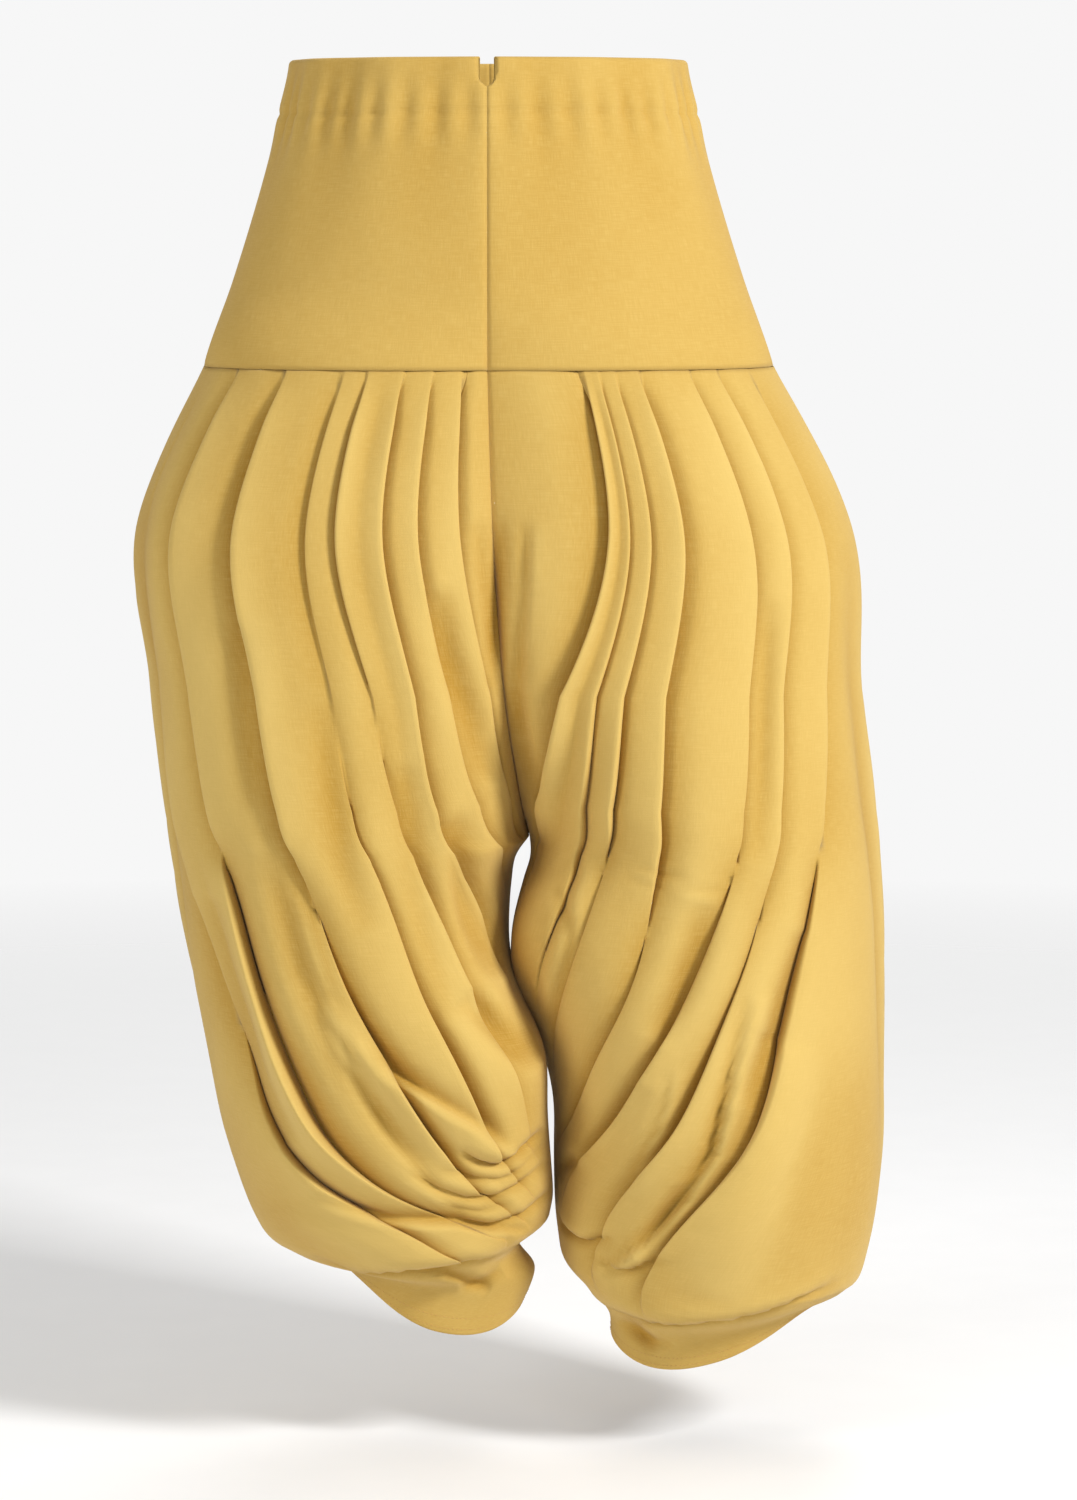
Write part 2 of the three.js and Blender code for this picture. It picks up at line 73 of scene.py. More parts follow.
RIGHT_SECTIONS = (
    ("belt", -230.3, -230.3, -230.3, -230.3, 216, 0, 112, 106, 106, 0, 0, 0, 0),
    ("hip", -353, -353, -353, -353, 270, -4, 132, 126, 108, 0, 0, 0, 0),
    ("thigh", -470, -470, -470, -470, 258, -12, 146, 134, 96, 0, 0, 0, 0),
    ("seat", -555, -555, -555, -555, 249, -24, 151, 136, 52, 0, 0, 0, 0),
    ("crotch", -590, -590, -590, -590, 245, -31, 152, 136, 0, 0, 0, 0, 0),
    ("gap", -612, -612, -612, -612, 242, -30, 151, 135, 0, 4, 8, 13, 0),
    ("upper", -642, -642, -642, -642, 238, -28, 150, 134, 0, 14, 18, 12, 0),
    ("knee", -695, -695, -695, -695, 230, -26, 148, 131, 0, -30, 30, 9, 0),
    ("calf", -740, -740, -740, -740, 220, -36, 146, 128, 0, -58, 35, -8, 0),
    ("shin", -790, -790, -795, -790, 210, -43, 140, 124, 0, -50, 35, -2, 0),
    ("ankle", -850, -846, -860, -850, 195, -47, 128, 114, 0, -40, 32, -2, 0),
    ("bag", -893, -880, -896, -890, 178, -48, 110, 102, 0, -32, 28, 0, 0),
    ("roll", -914, -902, -918, -914, 150, -23, 96, 90, 0, -26, 22, 0, 3),
    ("cuff", -921, -924, -932, -926, 118, -35, 72, 70, 0, -22, 16, 0, 6),
    ("hem", -930, -948, -966, -957, 108, -27, 64, 66, 0, -20, 12, 0, 10),
)

LEFT_SECTIONS = (
    ("belt", -230.3, -230.3, -230.3, -230.3, 216, 0, 112, 106, 106, 0, 0, 0, 0),
    ("hip", -353, -353, -353, -353, 276, 4, 132, 126, 108, 0, 0, 0, 0),
    ("thigh", -470, -470, -470, -470, 285, 12, 146, 134, 96, 0, 0, 0, 0),
    ("seat", -555, -555, -555, -555, 292, 24, 151, 136, 52, 0, 0, 0, 0),
    ("crotch", -590, -590, -590, -590, 295, 31, 152, 136, 0, 0, 0, 0, 0),
    ("gap", -612, -612, -612, -612, 296, 32, 152, 136, 0, -14, 5, 0, 0),
    ("upper", -642, -642, -642, -642, 298, 31, 152, 136, 0, -38, 14, -14, 0),
    ("knee", -695, -695, -695, -695, 300, 31, 150, 134, 0, -26, 24, -17, 0),
    ("calf", -740, -740, -740, -740, 301, 40, 149, 130, 0, 4, 30, -6, 0),
    ("shin", -790, -790, -795, -790, 302, 50, 146, 126, 0, 0, 34, 0, 0),
    ("ankle", -855, -850, -862, -852, 301, 52, 138, 120, 0, -6, 38, -2, 0),
    ("bag", -922, -908, -926, -920, 290, 53, 120, 108, 0, -14, 34, 0, 0),
    ("roll", -944, -936, -950, -942, 276, 74, 104, 96, 0, -18, 26, 0, 4),
    ("cuff", -951, -957, -966, -958, 262, 92, 80, 78, 0, -20, 18, 0, 8),
    ("hem", -957, -975, -988, -980, 256, 94, 72, 74, 0, -20, 12, 0, 14),
)

# Rows of cloth between one section and the next.
ROWS_AFTER = (20, 20, 14, 9, 6, 8, 12, 11, 13, 22, 16, 9, 8, 12)

# Places between the sections at which the pleats' steps and the common crease depth are given.
STEP_STATIONS = (0, 1, 3, 5, 7, 9, 10, 11.6)
CREASE_DEPTH = (2, 3, 3.5, 5.5, 7.5, 6, 3, 0)


class Pleat(NamedTuple):
    """A pleat from the belt to the hem.

    Its places are in percent of the half round, from the inner seam to the outer side, one for each
    section. Its steps are in millimetres, one for each step station: above zero, the strip on its
    outer side lies on top. Its share is of the common crease depth, and its columns are those of
    the strip of cloth after it.
    """

    name: str
    places: tuple[float, ...]
    steps: tuple[float, ...]
    share: float
    columns: int


RIGHT_FRONT_PLEATS = (
    Pleat("g", (6, 8, 6, 6, 8, 6, 5, 5, 6, 6, 5, 3, 4, 6, 8), (4, 6, 6, 4, 2, 1, 1, 0), 1, 9),
    Pleat("f", (13, 17, 15, 17, 20, 14, 12, 11, 11, 11, 9, 5, 7, 11, 15), (5, 7, 8, 6, 4, 1, 1, 0), 1, 9),
    Pleat("e", (20, 24, 22, 26, 31, 29, 26, 21, 17, 17, 15, 8, 10, 16, 21),
          (5, 7, 9, 10, 10, 4, 1, 0), 0.6, 10),
    Pleat("d", (29, 33, 31, 32, 37, 38, 40, 35, 32, 29, 23, 11, 13, 21, 28),
          (-5, -6, 4, 9, 12, 6, 1, 0), 0.7, 9),
    Pleat("c", (35, 39, 39, 41, 46, 45, 47, 45, 44, 40, 31, 15, 17, 27, 36),
          (-3, -3, 2, 6, 8, 10, 1, 0), 1, 12),
    Pleat("b", (51, 54, 54, 56, 59, 58, 59, 57, 56, 50, 41, 20, 22, 34, 44),
          (-6, -8, -7, -3, 6, 11, 2, 0), 1, 12),
    Pleat("a", (68, 70, 71, 73, 74, 74, 75, 74, 73, 70, 56, 26, 28, 42, 54),
          (-6, -8, -6, 6, 10, 13, 3, 0), 1, 11),
    Pleat("x", (86, 87, 87, 87, 87, 85, 83, 81, 81, 79, 68, 36, 38, 54, 66),
          (0, 0, -4, -4, -3, 5, 7, 0), 0.5, 20),
)

LEFT_FRONT_PLEATS = (
    Pleat("a", (23, 26, 18, 10, 8, 4, 8, 12, 12, 11, 4, 3, 4, 6, 8), (5, 8, 13, 13, 12, 6, 2, 0), 1, 9),
    Pleat("b", (27, 30, 24, 20, 21, 22, 27, 26, 18, 16, 8, 6, 8, 11, 14),
          (-4, -5, -6, -5, -3, 3, 1, 0), 1, 9),
    Pleat("c", (31, 34, 29, 27, 28, 29, 33, 33, 24, 21, 12, 9, 12, 17, 22),
          (-4, -5, -6, 2, 4, 5, 2, 0), 1, 10),
    Pleat("d", (37, 40, 37, 36, 40, 41, 44, 45, 38, 30, 16, 12, 17, 24, 31),
          (-5, -6, -6, -5, 4, 8, 3, 0), 1, 12),
    Pleat("e", (51, 54, 54, 53, 55, 55, 56, 53, 48, 40, 26, 18, 20, 29, 37),
          (-5, -7, -4, 2, 8, 13, 4, 0), 1, 10),
    Pleat("f", (60, 63, 61, 61, 62, 62, 63, 60, 56, 51, 41, 29, 29, 38, 46),
          (-5, -7, -6, -3, 5, 11, 5, 0), 1, 12),
    Pleat("g", (73, 75, 74, 73, 72, 72, 72, 70, 67, 63, 55, 40, 38, 48, 58),
          (-2, -3, -3, 3, 7, 9, 6, 0), 0.5, 24),
)

BACK_PLEATS = (
    Pleat("t", (75, 77, 78, 78, 80, 78, 76, 73, 70, 66, 60, 54, 62, 74, 80),
          (-5, -6, -3, 4, 7, 9, 5, 0), 1, 10),
    Pleat("s", (60, 62, 63, 63, 66, 64, 61, 56, 52, 48, 43, 40, 46, 56, 62),
          (-5, -6, -5, -4, 6, 8, 4, 0), 1, 10),
    Pleat("r", (45, 47, 48, 48, 53, 50, 46, 41, 37, 33, 31, 30, 34, 42, 46),
          (-4, -5, 3, 4, 5, 7, 3, 0), 1, 10),
    Pleat("q", (30, 32, 32, 32, 38, 35, 31, 26, 23, 21, 20, 20, 23, 28, 30),
          (4, 5, 5, 5, 5, 5, 2, 0), 1, 10),
    Pleat("p", (14, 16, 16, 16, 23, 20, 17, 14, 12, 11, 11, 11, 12, 14, 14), (5, 6, 5, 4, 4, 3, 1, 0), 1, 9),
)


class Side(Enum):
    """The two legs as worn, with the way they lie along X."""

    RIGHT = -1
    LEFT = 1


class Face(Enum):
    """The side of the garment that a crease lies on."""

    FRONT = "front"
    BACK = "back"
    OUTER = "outer side"


@dataclass(frozen=True)
class Crease:
    """A soft trough, ridge or fold's edge drawn on the cloth, in millimetres.

    The depth is above zero for a ridge. The lip is how far the outer side of the line stands over
    the inner side. The drop is how far the cloth above a level line hangs down over the cloth
    below it. The line is a row of (x, z) points, or (y, z) points on the outer side. One with no
    side lies on both legs.
    """

    name: str
    side: Side | None
    face: Face
    depth: float
    lip: float
    width: float
    line: tuple[tuple[float, float], ...]
    drop: float = 0.0
    ends_fade: float = 0.6
    lip_softness: float = 4.0
    lip_below: float = 0.7
    hang_reach: float = 6.0
    hang_bulge: float = 0.4
    least_facing: float = 0.35

    def offsets(self, flat: np.ndarray, facing: np.ndarray, way: int) -> np.ndarray:
        """How far each point moves out and down for this crease.

        Args:
            flat: The points' X and Z.
            facing: How far each point faces the crease's side of the garment.
            way: The leg's way along X.

        Returns:
            Two distances for each point.
        """
        line = np.array(self.line, float)
        lengths = np.linalg.norm(np.diff(line, axis=0), axis=1)
        along = np.concatenate([[0], np.cumsum(lengths)])
        nearest = np.full(flat.shape[:-1], 1e9)
        place = np.zeros_like(nearest)
        beyond = np.zeros_like(nearest)
        for i, length in enumerate(lengths):
            run = (line[i + 1] - line[i]) / length
            away = flat - line[i]
            s = np.clip(away @ run, 0, length)
            distance = np.linalg.norm(away - s[..., None] * run, axis=-1)
            closer = distance < nearest
            nearest = np.where(closer, distance, nearest)
            place = np.where(closer, along[i] + s, place)
            beyond = np.where(closer, way * (run[0] * away[..., 1] - run[1] * away[..., 0]), beyond)
        fade = np.sin(np.pi * np.clip(place / along[-1], 0.0, 1.0)) ** self.ends_fade
        near = np.exp(-(nearest / self.width) ** 2)
        rest = np.exp(-(nearest / (0.5 * self.width)) ** 2)
        over = smoothstep(-self.lip_softness, self.lip_softness, beyond)
        edge = self.lip * (over * near - self.lip_below * (1 - over) * rest)
        hang = self.drop * smoothstep(-1.0, 2.5, beyond * way)
        edge += self.hang_bulge * hang * np.exp(-((nearest - self.hang_reach) / self.hang_reach) ** 2)
        hang = hang * np.exp(-(nearest / (self.hang_reach + 1.6 * self.drop)) ** 2)
        share = fade * smoothstep(0.0, self.least_facing, facing)
        return np.stack([(self.depth * near + edge) * share, hang * share], axis=-1)


# Creases by the leg and the side of the garment that they lie on. Those under no leg lie on both.
# A row has the crease's name, depth, lip, width and line, and its drop where it has one.
CREASE_ROWS = {
    (Side.RIGHT, Face.FRONT): (
        ("bag's fold", 0, 9, 24,
         ((-113, -692), (-96, -725), (-73, -752), (-31, -780), (14, -809), (32, -815))),
        ("pocket over the bunch", -13, 0, 6,
         ((-20, -812), (-4, -819), (10, -821), (26, -817), (44, -806)), 7),
        ("bunch", -5, 0, 5, ((-34, -824), (-10, -833), (10, -835), (28, -830), (48, -816)), 3),
        ("bunch", -7, 0, 5, ((-58, -828), (-38, -840), (-16, -848), (6, -849), (26, -843), (46, -832)), 4),
        ("bunch", -4, 0, 4.5, ((-30, -856), (-6, -860), (18, -856)), 2),
        ("bunch", -6, 0, 5, ((-20, -868), (4, -872), (30, -867), (50, -855)), 4),
        ("roll's upper edge", -4, 7, 13,
         ((-128, -852), (-104, -861), (-71, -868), (-24, -870), (14, -881), (30, -886))),
        ("crease over the hem", -7, 0, 7,
         ((-132, -903), (-98, -910), (-71, -906), (-44, -901), (-14, -899), (8, -902)), 9),
        ("tuck over the hem", -8, 0, 5, ((-52, -904), (-32, -912), (-12, -924), (2, -932))),
        ("curl", -5, 0, 5, ((-22, -930), (-4, -926), (10, -918))),
        ("roll's ridge", 7, 0, 13, ((-150, -868), (-119, -882), (-66, -889), (-14, -890), (13, -888))),
        ("outer strip's hollow", -7, 0, 16, ((-211, -624), (-197, -688), (-178, -756), (-152, -813))),
        ("middle hollow", -10, 0, 15, ((-168, -586), (-140, -673), (-107, -745), (-66, -802), (-32, -840))),
        ("soft fold", 0, 4, 12,
         ((-152, -571), (-134, -639), (-118, -690), (-109, -725),
          (-100, -755), (-82, -790), (-50, -832), (-20, -869))),
        ("hollow under the thigh", -6, 0, 12, ((-127, -474), (-117, -541), (-106, -594), (-86, -646))),
        ("shade by the second fold", -5, 0, 10, ((-189, -414), (-184, -489), (-175, -556))),
        ("hollow under the crotch", -13, 0, 13, ((-24, -560), (-14, -605), (-6, -645), (8, -690))),
        ("shade by the seam", -9, 0, 12, ((-36, -390), (-26, -440), (-10, -490), (4, -540))),
        ("shaded inner fold", -9, 0, 17, ((-62, -520), (-50, -590), (-38, -650), (-22, -712))),
        ("dark hollow", -13, 0, 11, ((-16, -696), (4, -716), (22, -734), (42, -752))),
    ),
    (None, Face.FRONT): (
        ("front seam's fold", -7, 0, 6, ((9, -340), (8, -372), (6, -415), (4, -474))),
        ("gusset fold", -5, 0, 7, ((-7, -340), (-2, -394), (4, -451))),
        ("gusset fold", -5, 0, 5, ((27, -340), (28, -389), (25, -418), (21, -461), (23, -504))),
        ("gusset fold", 3, 0, 6, ((39, -340), (29, -404), (25, -444))),
        ("gusset fold", -4, 0, 7, ((18, -466), (27, -519), (38, -558))),
    ),
    (Side.LEFT, Face.FRONT): (
        ("inner fold", -4, 0, 5, ((50, -616), (59, -641), (59, -661), (50, -703), (43, -730))),
        ("third cowl", 0, 11, 17,
         ((198, -690), (184, -750), (170, -812), (148, -850), (122, -880), (98, -900), (78, -912))),
        ("fine cowl fold", 0, 4, 9, ((138, -745), (135, -775), (126, -802), (114, -825), (105, -848))),
        ("pocket", -6, 0, 6, ((146, -838), (130, -866), (114, -894))),
        ("pocket", -8, 0, 7, ((84, -908), (104, -906), (128, -896)), 6),
        ("big fold's ridge", 10, 0, 24, ((222, -730), (210, -790), (195, -836), (180, -884), (172, -925))),
        ("shade beside the big fold", -8, 0, 12,
         ((208, -720), (192, -776), (176, -822), (150, -864), (120, -898))),
        ("crease over the hem", -8, 0, 7,
         ((76, -944), (113, -945), (137, -944), (186, -940), (218, -934), (266, -922)), 10),
        ("hem's fold", -6, 0, 6, ((104, -950), (112, -964), (128, -980))),
        ("hem's pocket", -6, 0, 5, ((112, -958), (126, -951), (142, -948), (160, -947)), 4),
        ("hem's curl", -4, 0, 5, ((102, -948), (103, -960), (116, -970), (140, -975))),
        ("lobe's crease", -7, 0, 6, ((40, -868), (54, -884), (70, -890), (94, -882)), 7),
        ("lobe's crease", -5, 0, 5, ((65, -830), (54, -842), (51, -854))),
        ("soft hollow", -8, 0, 13, ((160, -622), (153, -658), (141, -692), (125, -726))),
        ("soft hollow", -6, 0, 12, ((233, -646), (222, -692), (208, -733), (188, -775))),
        ("soft hollow", -5, 0, 12, ((118, -764), (95, -794), (69, -825))),
        ("shade by the fourth fold", -5, 0, 9, ((210, -399), (209, -474), (206, -541), (200, -594))),
        ("wrinkle", -1.4, 0, 2.6, ((109, -595), (129, -602), (153, -604))),
        ("wrinkle", -1.2, 0, 2.6, ((141, -609), (160, -613), (176, -612))),
        ("wrinkle", -1.1, 0, 2.4, ((103, -606), (117, -610), (135, -612))),
    ),
    (Side.RIGHT, Face.BACK): (
        ("back fold", 0, 4, 24, ((-150, -640), (-120, -700), (-80, -752), (-35, -795), (10, -820))),
        ("back hollow", -7, 0, 15, ((-190, -600), (-165, -690), (-125, -770), (-75, -830))),
        ("back hollow", -6, 0, 13, ((-110, -560), (-95, -640), (-60, -720), (-20, -770))),
        ("back bunch", -5, 0, 7, ((-60, -862), (-30, -856), (0, -858), (24, -850))),
        ("back bunch", -4, 0, 7, ((-50, -880), (-20, -872), (12, -876))),
        ("crease over the hem", -7, 0, 7, ((-124, -908), (-70, -910), (-30, -903), (10, -900)), 8),
    ),
    (None, Face.BACK): (
        ("seat's fold", -6, 0, 9, ((10, -300), (12, -380), (18, -460), (24, -530))),
        ("seat's fold", -4, 0, 8, ((-30, -320), (-22, -400), (-6, -480), (12, -540))),
    ),
    (Side.LEFT, Face.BACK): (
        ("back fold", 0, 4, 24, ((215, -650), (190, -720), (150, -785), (105, -840), (70, -870))),
        ("back hollow", -7, 0, 15, ((245, -620), (232, -720), (200, -810), (150, -880))),
        ("back hollow", -6, 0, 12, ((110, -600), (100, -680), (82, -750))),
        ("back bunch", -5, 0, 7, ((80, -885), (100, -880), (125, -884))),
        ("crease over the hem", -8, 0, 7, ((84, -944), (140, -942), (190, -936), (258, -922)), 9),
        ("seat's fold", -4, 0, 8, ((60, -330), (52, -410), (44, -490))),
    ),
    (Side.RIGHT, Face.OUTER): (
        ("side hollow", -6, 0, 16, ((-34, -330), (-24, -480), (-6, -640), (16, -790))),
        ("side hollow", -5, 0, 13, ((48, -360), (46, -520), (34, -690), (10, -800))),
        ("side fold", 5, 0, 14, ((8, -400), (12, -560), (20, -720), (26, -840))),
    ),
    (Side.LEFT, Face.OUTER): (
        ("side hollow", -6, 0, 17, ((-40, -360), (-36, -520), (-24, -700), (-6, -850))),
        ("side hollow", -4, 0, 12, ((40, -340), (46, -500), (40, -660), (24, -790))),
        ("side fold", 5, 0, 14, ((4, -480), (6, -640), (14, -780), (22, -890))),
    ),
}
CREASES = tuple(
    Crease(name, side, face, depth, lip, width, line, *drop)
    for (side, face), rows in CREASE_ROWS.items()
    for name, depth, lip, width, line, *drop in rows
)


def smooth_at(values: tuple[float, ...], t: float, corner: int = -1) -> float:
    """Read a list on a smooth curve at a place between its values.

    Args:
        values: The list's values at the whole numbers.
        t: The place in the list.
        corner: A place where the two sides have no say in each other's curve.

    Returns:
        The value on the curve.
    """
    last = len(values) - 1
    i = min(int(math.floor(t)), last - 1)
    f = t - i
    p1 = values[i]
    p2 = values[i + 1]
    p0 = values[i - 1] if i > 0 and i != corner else p1
    p3 = values[i + 2] if i + 2 <= last and i + 1 != corner else p2
    slope1 = (p2 - p0) / 2
    slope2 = (p3 - p1) / 2
    f2 = f * f
    f3 = f2 * f
    return ((2 * f3 - 3 * f2 + 1) * p1 + (f3 - 2 * f2 + f) * slope1
            + (3 * f2 - 2 * f3) * p2 + (f3 - f2) * slope2)


def step_at(values: tuple[float, ...], t: float) -> float:
    """Read a list kept at the step stations at a section place, with eased joins."""
    i = 0
    while i < len(STEP_STATIONS) - 2 and t > STEP_STATIONS[i + 1]:
        i += 1
    f = (t - STEP_STATIONS[i]) / (STEP_STATIONS[i + 1] - STEP_STATIONS[i])
    return smooth_at(values, i + min(0.9999, max(0.0, f)))


def smoothstep(low: float, high: float, x: Any) -> Any:
    """Ease from 0 at the low end to 1 at the high end."""
    f = np.clip((np.asarray(x, float) - low) / (high - low), 0.0, 1.0)
    return f * f * (3 - 2 * f)


def bell(softness: float) -> np.ndarray:
    """Weights of a bell curve out to three times its softness, which add up to 1."""
    reach = int(3 * softness)
    weights = np.exp(-0.5 * (np.arange(-reach, reach + 1) / softness) ** 2)
    return weights / weights.sum()


def softened(rows: np.ndarray, softness: float) -> np.ndarray:
    """Smooth the values from row to row, with the first and last rows kept.

    Args:
        rows: One row of values, or of points, for each place.
        softness: The bell curve's softness in rows.

    Returns:
        As many rows.
    """
    weights = bell(softness)
    reach = len(weights) // 2
    flat = rows.reshape(len(rows), -1)
    padded = np.concatenate([2 * flat[0] - flat[reach:0:-1], flat, 2 * flat[-1] - flat[-2:-reach - 2:-1]])
    smooth = sum(weight * padded[i:i + len(flat)] for i, weight in enumerate(weights))
    return smooth.reshape(rows.shape)


@dataclass
class Section:
    """One cut across a leg, from the table's columns at a place between its rows."""

    side: int
    z_outer: float
    z_inner: float
    z_front: float
    z_back: float
    outer: float
    inner: float
    front: float
    back: float
    rise: float
    lean: float
    turn: float
    tuck: float
    sway: float
    tuck_sharpness: float = 4.0

    @property
    def start_front(self) -> float:
        """Angle at which the front half starts at the inseam."""
        return math.asin(min(1.0, max(0.0, self.rise) / self.front)) - math.radians(max(0.0, self.turn))

    @property
    def start_back(self) -> float:
        """Angle before the full turn at which the back half ends at the inseam."""
        return math.asin(min(1.0, max(0.0, self.rise) / self.back)) + math.radians(max(0.0, self.turn))

    def half(self, depth: float) -> float:
        """Half the section's width for a half with that depth."""
        opening = math.asin(min(1.0, max(0.0, self.rise) / depth))
        return (self.outer - self.inner) / (1 + math.cos(opening))

    def points(self, angles: np.ndarray) -> np.ndarray:
        """Points of the section in millimetres.

        Args:
            angles: Angles from the inner end over the front to the outer side and the back.

        Returns:
            One point for each angle.
        """
        sin = np.sin(angles)
        cos = np.cos(angles)
        half = np.where(angles <= math.pi, self.half(self.front), self.half(self.back))
        depth = np.where(sin > 0, self.front, self.back)
        inward = np.maximum(0.0, cos)
        across = self.outer - half * (1 + cos) + self.tuck * inward ** self.tuck_sharpness
        y = self.lean * inward ** 2 - depth * sin
        z_side = np.where(cos > 0, self.z_inner, self.z_outer)
        z_face = np.where(sin > 0, self.z_front, self.z_back)
        z = z_side * cos * cos + z_face * sin * sin
        z -= 2 * self.sway * cos * (np.sqrt(sin * sin + 0.04) - 0.2)
        return np.stack([self.side * across, y, z], axis=-1)

    def outward(self, angles: np.ndarray) -> tuple[np.ndarray, np.ndarray]:
        """Level outward directions and the millimetres for each radian, at the angles."""
        nudge = 0.01
        run = self.points(angles + nudge) - self.points(angles - nudge)
        run[:, 2] = 0
        length = np.linalg.norm(run, axis=1)
        run /= length[:, None]
        normal = np.stack([self.side * run[:, 1], -self.side * run[:, 0], np.zeros(len(run))], axis=-1)
        return normal, length / (2 * nudge)


@dataclass
class Lap:
    """A pleat at one row: where its fold lies, and how far it stands up."""

    angle: float
    rise: float
    crease: float
    first: float
    second: float
    bulge: float
    seam_shift: float
    columns: int


@dataclass
class Leg:
    """One leg of the salwar: a front gusset, a pleated leg panel and a back gusset."""

    side: Side
    sections: tuple[tuple[Any, ...], ...]
    front_pleats: tuple[Pleat, ...]
    back_pleats: tuple[Pleat, ...] = BACK_PLEATS
    gusset_columns: int = 16
    nose_columns: int = 9
    fold_half_width: float = 1.5
    lap: float = 6.0
    lap_at_step: float = 8.0
    seam_under_lap: float = 2.5
    room_for_lap: float = 12.0
    room_beside_step: float = 8.0
    room_per_step: float = 0.9
    step_scale: float = 2.1
    crease_scale: float = 0.75
    belly: float = 1.5
    flat_at_belt: float = 0.1
    sewn_flat_until: float = 0.45
    line_softness: float = 10.0
    row_softness: float = 5.0
    least_turn: float = 0.022
    closed_rise: float = 90.0
    calm_from: float = 0.72
    calm_to: float = 0.96
    belly_width: tuple[float, float] = (20.0, 80.0)
    slow_swell: float = 1.3
    quick_swell: float = 0.5
    calm_near_seam: float = 25.0
    level_near_seam: float = 18.0
    shade_softness: tuple[int, int] = (5, 7)
    shade_own: float = 0.4
    shade_below: float = 1.4
    shade_most: float = 8.0
    stitched_rows: tuple[int, int] = (-3, -6)

    @property
    def name(self) -> str:
        """The leg's name in its pieces' names."""
        return self.side.name.lower()

    def section(self, t: float) -> Section:
        """The section at a place between the table's rows."""
        values = {}
        for i, column in enumerate(SECTION_COLUMNS):
            corner = CROTCH if column in SEAM_COLUMNS else -1
            values[column] = smooth_at(tuple(row[i + 1] for row in self.sections), t, corner)
        return Section(side=self.side.value, **values)

    def fold_angles(self, sections: list[Section], places: list[float]) -> np.ndarray:
        """Angle of every pleat at every row, with the kinks between the table's rows eased.

        Args:
            sections: The section of each row.
            places: The place of each row between the table's rows.

        Returns:
            Rows of angles.
        """
        angles = []
        for section, t in zip(sections, places):
            front = [section.start_front + smooth_at(pleat.places, t) / 100 * (math.pi - section.start_front)
                     for pleat in self.front_pleats]
            back = [2 * math.pi - section.start_back
                    - smooth_at(pleat.places, t) / 100 * (math.pi - section.start_back)
                    for pleat in self.back_pleats]
            angles.append(front + back)
        eased = softened(np.array(angles), self.line_softness)
        for i, section in enumerate(sections):
            low = section.start_front + self.least_turn
            for k in range(eased.shape[1]):
                eased[i, k] = low = max(low, eased[i, k])
                low += self.least_turn
            high = 2 * math.pi - section.start_back - self.least_turn
            for k in reversed(range(eased.shape[1])):
                eased[i, k] = high = min(high, eased[i, k])
                high -= self.least_turn
        return eased

    def laps(self, section: Section, t: float, angles: np.ndarray) -> list[Lap]:
        """The pleats in order round the leg at a section.

        Args:
            section: The section that they lie on.
            t: Its place between the table's rows.
            angles: The angle of each pleat there.

        Returns:
            One lap for each pleat.
        """
        ends = [section.start_front, *map(float, angles), 2 * math.pi - section.start_back]
        _, paces = section.outward(angles)
        closed = 1 - min(1.0, max(0.0, section.rise) / self.closed_rise)
        standing = float(smoothstep(0.0, self.sewn_flat_until, t))
        sewn_flat = self.flat_at_belt + (1 - self.flat_at_belt) * standing
        laps = []
        for i, pleat in enumerate((*self.front_pleats, *self.back_pleats)):
            way = 1 if i < len(self.front_pleats) else -1
            angle = ends[i + 1]
            pace = float(paces[i])
            rise = way * self.step_scale * step_at(pleat.steps, t)
            room = max(0.5, min(angle - ends[i], ends[i + 2] - angle) * pace)
            width = min(1.0, room / self.room_for_lap)
            wanted = self.room_beside_step + self.room_per_step * abs(rise)
            lively = 1 - closed * float(smoothstep(self.calm_from, self.calm_to, math.cos(angle)))
            part = min(1.0, room / wanted) * lively * sewn_flat
            rise *= part
            up = min(1.0, max(0.0, rise / self.lap_at_step))
            down = min(1.0, max(0.0, -rise / self.lap_at_step))
            reach = (self.lap + self.fold_half_width) * width
            laps.append(Lap(
                angle=angle,
                rise=rise,
                crease=pleat.share * self.crease_scale * step_at(CREASE_DEPTH, t) * part,
                first=angle + (reach * up - self.fold_half_width * width) / pace,
                second=angle - (reach * down - self.fold_half_width * width) / pace,
                bulge=math.tanh(rise / 2) * min(3.6, abs(rise) * 0.3) * width / pace,
                seam_shift=self.seam_under_lap * width / pace,
                columns=pleat.columns,
            ))
        return laps

    def strip(self, start: tuple[float, float, float], end: tuple[float, float, float],
              count: int, pace: float) -> list[tuple[float, float]]:
        """Columns between two folds: an angle and a height off the section for each.

        Args:
            start: Angle, rise and crease of the fold before.
            end: Angle, rise and crease of the fold after.
            count: How many columns.
            pace: Millimetres for each radian.

        Returns:
            The columns' angles and heights.
        """
        columns = []
        width = (end[0] - start[0]) * pace
        low, high = self.belly_width
        broad = min(1.0, max(0.0, width - low) / (high - low))
        swell = self.belly * broad * min(1.0, abs(start[1]) + abs(end[1]))
        for i in range(1, count + 1):
            f = i / (count + 1)
            near = max(0.0, 1 - 2 * f)
            far = max(0.0, 2 * f - 1)
            height = (start[1] / 2 * near ** 1.3 - end[1] / 2 * far ** 1.3
                      - start[2] * near * near - end[2] * far * far
                      + swell * math.sin(math.pi * f) ** 2)
            columns.append((start[0] + (end[0] - start[0]) * f, height))
        return columns

